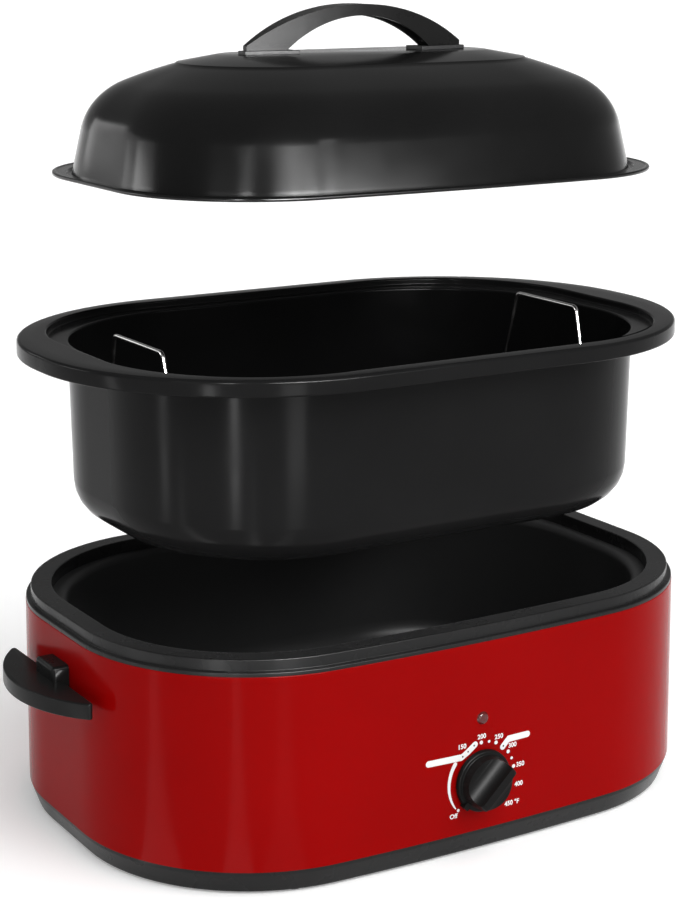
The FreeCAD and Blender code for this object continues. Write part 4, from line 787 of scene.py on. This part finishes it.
# %% [markdown]
# ## The printed dial
# The scale is printed on the paint round the knob: Off at the lower left, a tapered arc, a band for
# keeping food warm, the temperatures from 150 to 450 degrees with dots at and between some of them,
# and a second band. The bands carry no words. Everything is first drawn flat, in millimetres from the
# knob's axis. Then one node tree gives the print its thickness and lays it on the bowed shell.

# %% Draw the dial flat
KNOB_Z = 58.0
SCALE = 1.043                   # the marks were laid out for a slightly smaller body


def polar(degrees, radius):
    """A place on the dial: degrees clockwise from straight up."""
    angle = math.radians(degrees)
    return Vector((math.sin(angle), math.cos(angle))) * radius * SCALE


def flat_polygon(points):
    mesh = bpy.data.meshes.new("flat")
    mesh.from_pydata([(x, y, 0) for x, y in points], [], [list(range(len(points)))])
    return mesh


def stroke(points, widths, steps=10):
    """A line with round ends whose width may change along it."""
    count = len(points)
    left, right = [], []
    for i, point in enumerate(points):
        before, after = points[max(i - 1, 0)], points[min(i + 1, count - 1)]
        along = (after - before).normalized()
        mitre = 1.0
        if 0 < i < count - 1:
            mitre = 1 / max(0.5, math.cos((point - before).angle(after - point) / 2))
        side = Vector((-along.y, along.x)) * widths[i] / 2 * mitre
        left.append(point + side)
        right.append(point - side)

    def cap(centre, start, width):
        first = math.atan2(start.y - centre.y, start.x - centre.x)
        return [centre + Vector((math.cos(first - math.pi * k / steps),
                                 math.sin(first - math.pi * k / steps))) * width / 2
                for k in range(1, steps)]

    loop = left + cap(points[-1], left[-1], widths[-1]) + right[::-1]
    loop += cap(points[0], right[0], widths[0])
    return flat_polygon([tuple(p) for p in loop])


def dot(centre, diameter, sides=20):
    return flat_polygon([(centre.x + diameter / 2 * math.cos(2 * math.pi * k / sides),
                          centre.y + diameter / 2 * math.sin(2 * math.pi * k / sides))
                         for k in range(sides)])


CAPITAL = 0.70                  # height of a capital as a share of the font's size


def word(text, centre, height):
    """Filled letters, their middle at centre. height is that of a capital."""
    letters = bpy.data.curves.new("word", "FONT")
    letters.body = text
    letters.size = height / CAPITAL
    letters.align_x, letters.align_y = "CENTER", "CENTER"
    letters.offset = 0.16                            # a little bolder than the font
    letters.space_character = 1.02
    mesh = plain_mesh(linked("word", letters))
    mesh.transform(Matrix.Translation(centre.to_3d()))
    return mesh


LETTER, BAND_WIDTH, BAND_DOT = 3.5, 4.9, 1.4
OFF_AT, OFF_DOT = -133, 2.5
flat_marks = [word("Off", polar(OFF_AT, 33.4), LETTER), dot(polar(OFF_AT, 27.9), OFF_DOT)]
off_arc = [polar(degrees, 28.5) for degrees in range(-127, -52, 3)]
last = len(off_arc) - 1
flat_marks.append(stroke(off_arc, [0.9 + 2.3 * (i / last) ** 0.6 for i in range(last + 1)]))
WARM_BAND = ((-45.8, 20.85), (-17.8, 20.35), (-12.6, 23.35), (-6.4, 27.75))
COLD_BAND = ((18.0, 21.25), (22.9, 26.15), (40.0, 26.45))
for band in (WARM_BAND, COLD_BAND):
    flat_marks.append(stroke([Vector(spot) * SCALE for spot in band], [BAND_WIDTH] * len(band)))
for text, degrees, radius in (("150", -32, 33.3), ("200", -1, 32.6), ("250", 26, 33.0),
                              ("300", 52, 33.8), ("350", 82, 34.2), ("400", 107, 34.2),
                              ("450 \N{DEGREE SIGN}F", 131, 35.4)):
    flat_marks.append(word(text, polar(degrees, radius), LETTER))
for degrees, diameter in ((-2, 3.0), (12, 2.3), (25, 3.0), (54, 3.0), (67, 2.3), (81, 3.0)):
    flat_marks.append(dot(polar(degrees, 28.3), diameter))
band_dots = [dot(Vector(spot) * SCALE, BAND_DOT)
             for spot in ((-17.0, 20.75), (-12.4, 23.65), (-7.2, 27.15), (18.5, 21.75))]
print("flat marks", len(flat_marks), "band dots", len(band_dots))

# %% [markdown]
# ### From the flat drawing to the shell
# The tree thickens each flat mark, joins front and back, and moves every point to the side's bow.
# White goes down first and the dots in the bands lie on it, as a second pass of the printing would.

# %% The tree that prints on the bowed shell
printed, sizes, output = new_tree("print_on_side", {
    "Side radius": "Float", "Side middle": "Float", "Height": "Float", "Thickness": "Float",
    "Finish": "Material"})
raised = step(printed, "GeometryNodeExtrudeMesh", Mesh=sizes["Geometry"],
              Offset_Scale=sizes["Thickness"], Individual=False)
lower = step(printed, "GeometryNodeFlipFaces", Mesh=sizes["Geometry"])
both = step(printed, "GeometryNodeJoinGeometry")
printed.links.new(lower.outputs[0], both.inputs[0])
printed.links.new(raised.outputs[0], both.inputs[0])
sealed = step(printed, "GeometryNodeMergeByDistance", Geometry=both.outputs[0], Distance=1e-6)
here = step(printed, "GeometryNodeInputPosition")
x, y, z = step(printed, "ShaderNodeSeparateXYZ", Vector=here.outputs[0]).outputs
x_squared = sums(printed, "MULTIPLY", x, x)
r_squared = sums(printed, "MULTIPLY", sizes["Side radius"], sizes["Side radius"])
bow = sums(printed, "SQRT", sums(printed, "SUBTRACT", r_squared, x_squared))
depth = sums(printed, "SUBTRACT", sums(printed, "SUBTRACT", sizes["Side middle"], bow), z)
laid = step(printed, "ShaderNodeCombineXYZ", X=x, Y=depth,
            Z=sums(printed, "ADD", y, sizes["Height"]))
moved = step(printed, "GeometryNodeSetPosition", Geometry=sealed.outputs[0],
             Position=laid.outputs[0])
finish_tree(printed, moved.outputs[0], sizes["Finish"], output)


def print_marks(name, meshes, finish, thickness, above):
    """Print flat marks on the shell, all faces outwards, above it by so many millimetres."""
    shape = merged(meshes)
    bmesh.ops.translate(shape, verts=shape.verts, vec=(0, 0, above))
    bmesh.ops.scale(shape, verts=shape.verts, vec=(MM, MM, MM))
    shape.normal_update()
    inwards = [face for face in shape.faces if face.normal.z < 0]
    bmesh.ops.reverse_faces(shape, faces=inwards)
    mesh = grown(printed, as_mesh(shape, name), {
        "Side radius": BODY.side_r * MM, "Side middle": (MIDDLE_Y - BODY.side_y) * MM,
        "Height": KNOB_Z * MM, "Thickness": thickness * MM, "Finish": finish})
    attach(keep_mesh(name, mesh, finish), "body")
    print(name, "faces", len(mesh.polygons))


print_marks("dial_print", flat_marks, white_print, 0.08, above=0.02)
print_marks("dial_band_dots", band_dots, dark_print, 0.05, above=0.11)

# %% [markdown]
# ## The floor
# The object stands on a plain pale floor that keeps its shadow. The floor's own colour makes it
# pale. To the camera, and to anything that mirrors it or lets it through, it is lifted to white by
# a little glow, which doesn't light the object.

# %% Floor
scene = bpy.context.scene
FLOOR_GREY, FLOOR_GLOW = 0.90, 0.24
floor_shape = bmesh.new()
bmesh.ops.create_grid(floor_shape, x_segments=8, y_segments=8, size=30)
floor_finish, floor_tree, floor_shader, _ = finish_nodes("floor_matt")
floor_shader.inputs["Base Color"].default_value = (FLOOR_GREY, FLOOR_GREY, FLOOR_GREY, 1)
floor_shader.inputs["Roughness"].default_value = 0.9
floor_shader.inputs["Specular IOR Level"].default_value = 0.0
seen = floor_tree.nodes.new("ShaderNodeLightPath")
either = seen.outputs["Is Camera Ray"]
for kind in ("Is Glossy Ray", "Is Transmission Ray"):
    either = sums(floor_tree, "MAXIMUM", either, seen.outputs[kind])
glow = sums(floor_tree, "MULTIPLY", either, FLOOR_GLOW)
floor_shader.inputs["Emission Color"].default_value = (1, 1, 1, 1)
floor_tree.links.new(glow, floor_shader.inputs["Emission Strength"])
floor_mesh = as_mesh(floor_shape, "studio_floor")
floor_mesh.materials.append(floor_finish)
studio_floor = linked("studio_floor", floor_mesh)
print("floor colour", FLOOR_GREY)

# %% [markdown]
# ## Light
# Two broad suns, one high in front and one straight above, light the object evenly. Their own
# images would be hard spots in the gloss, so the gloss doesn't show them. The world is pale at the
# horizon, so that it meets the floor softly, and dimmer overhead, where the dark lid mirrors it.

# %% World and broad light
HORIZON, OVERHEAD = 0.95, 0.18
world = bpy.data.worlds.new("studio_room")
scene.world = world
world.use_nodes = True
room = world.node_tree
direction = room.nodes.new("ShaderNodeTexCoord")
parts = room.nodes.new("ShaderNodeSeparateXYZ")
room.links.new(direction.outputs["Generated"], parts.inputs["Vector"])
height = room.nodes.new("ShaderNodeValToRGB")
stops = height.color_ramp.elements
stops[0].color = (HORIZON, HORIZON, HORIZON, 1)
stops[1].color = (OVERHEAD, OVERHEAD, OVERHEAD, 1)
for position, grey in ((0.05, 0.50), (0.10, 0.30), (0.25, 0.20)):
    stops.new(position).color = (grey, grey, grey, 1)
room.links.new(parts.outputs["Z"], height.inputs["Fac"])
room.links.new(height.outputs["Color"], room.nodes["Background"].inputs["Color"])
room.nodes["Background"].inputs["Strength"].default_value = 1.0


def hung(name, data, spot, turn):
    lamp = linked(name, data)
    lamp.location = spot
    lamp.rotation_euler = turn
    return lamp


def facing(spot, target):
    """The turn that points a lamp at spot towards target."""
    return (Vector(target) - Vector(spot)).to_track_quat("-Z", "Y").to_euler()


def broad_light(name, strength, degrees, spot):
    """Light from the side of spot, without an image of its own in the gloss."""
    data = bpy.data.lights.new(name, "SUN")
    data.energy = strength
    data.angle = math.radians(degrees)
    hung(name, data, spot, facing(spot, (0, 0, 0))).visible_glossy = False


broad_light("front_light", 2.4, 60, (0.8, -3.0, 3.5))
broad_light("ceiling_light", 0.9, 170, (0, 0, 4))
print("broad lights", len(bpy.data.lights))

# %% [markdown]
# ### Streaks in the gloss
# Enamel is black; what one sees of its shape is what it mirrors. Upright panels stand one metre
# from the middle and show in the gloss alone, not to the camera and not as light on matt surfaces.
# A wall that curves mirrors each of them as an upright streak, and which wall shows it follows from
# the panel's bearing and height. The upright body mirrors the floor, so three more panels lie flat
# on it and run away from the body's foot.


# %% Panels
def mirrored_panel(name, width, height, glow, spot, turn):
    """A rectangle as bright as glow at any size, seen in the gloss only."""
    data = bpy.data.lights.new(name, "AREA")
    data.shape = "RECTANGLE"
    data.size, data.size_y = width, height
    data.energy = glow * math.pi * width * height
    lamp = hung(name, data, spot, turn)
    lamp.visible_camera = False
    lamp.visible_diffuse = False


def bearing_of(degrees):
    """A level direction, counted from -X towards -Y."""
    return Vector((-math.cos(math.radians(degrees)), -math.sin(math.radians(degrees)), 0))


def strip(name, degrees, low, high, width, glow):
    """An upright panel one metre from the middle, from height low to height high."""
    middle = place(0, 0, 0) + Vector((0, 0, (low + high) / 2))
    spot = middle + bearing_of(degrees)
    mirrored_panel(name, width, high - low, glow, spot, facing(spot, middle))


LANE_LENGTH, LANE_GAP = 0.95, 0.03


def lane(name, x, y, degrees, width, glow):
    """A panel flat on the floor that runs away from the point x, y of the body's foot."""
    middle = place(x, y, 2) + bearing_of(degrees) * (LANE_LENGTH / 2 + LANE_GAP)
    mirrored_panel(name, LANE_LENGTH, width, glow, middle, (math.pi, 0, math.radians(degrees)))


# name: bearing in degrees, lower and upper end and width in metres, glow
STRIPS = {
    "pan_left": (-4, 0.01, 0.30, 0.08, 7),
    "pan_corner": (39, 0.01, 0.30, 0.07, 23),
    "pan_front": (74, 0.01, 0.30, 0.18, 7),
    "lid_end_far": (-59.5, 0.55, 0.76, 0.16, 2.2),
    "lid_end": (-36, 0.45, 0.73, 0.62, 0.6),
    "lid_end_low": (-42, 0.50, 0.62, 0.24, 1.6),
    "lid_end_low_2": (-26.5, 0.50, 0.66, 0.33, 7.0),
    "lid_corner_soft": (31, 0.50, 0.76, 0.25, 3.4),
    "lid_corner": (47, 0.50, 0.765, 0.08, 70),
    "lid_glint": (77, 0.50, 0.765, 0.05, 60),
    "lid_front": (79, 0.50, 0.76, 0.48, 80),
    "lid_front_2": (99, 0.50, 0.745, 0.21, 36),
    "lid_front_3": (108, 0.50, 0.74, 0.105, 16),
    "lid_front_4": (114, 0.50, 0.735, 0.105, 6),
    "handle_glint": (102, 0.84, 0.97, 0.20, 4.0),
}
# name: the foot's x and y in millimetres, bearing in degrees, width in metres, glow
LANES = {
    "left_lane": (-233, -120, 0, 0.05, 3.2),
    "corner_lane": (-193, -158, 52, 0.035, 3.8),
    "front_lane": (-163, -173, 80, 0.05, 1.6),
}
for name, numbers in STRIPS.items():
    strip(name, *numbers)
for name, numbers in LANES.items():
    lane(name, *numbers)
print("lights", len(bpy.data.lights))

# %% [markdown]
# ## Camera
# It looks down a little from the front left, from far enough away to keep the long sides calm. A
# lens shift frames the foot of the body without more tilt, so upright edges stay nearly upright.

# %% Camera
YAW, PITCH = 31.067, 9.028      # degrees: round from straight ahead, and down
EYE = (-0.8765, -1.4326, 0.6843)     # metres from the middle of the body
lens = bpy.data.cameras.new("view")
lens.lens = 84.15
lens.sensor_width = 36.0
lens.shift_y = -0.2
lens.clip_end = 100
camera = linked("view", lens)
camera.location = Vector(EYE) + place(0, 0, 0)
camera.rotation_euler = (math.radians(90 - PITCH), 0, -math.radians(YAW))
scene.camera = camera
scene.view_settings.view_transform = "Standard"
print("camera", tuple(round(v, 3) for v in camera.location))

# %% [markdown]
# ## Bring the scene up to date
# The dressed object must be as large as the solids it stands for. At the end the view layer is
# brought up to date.

# %% Bring the view layer up to date
bpy.context.view_layer.update()
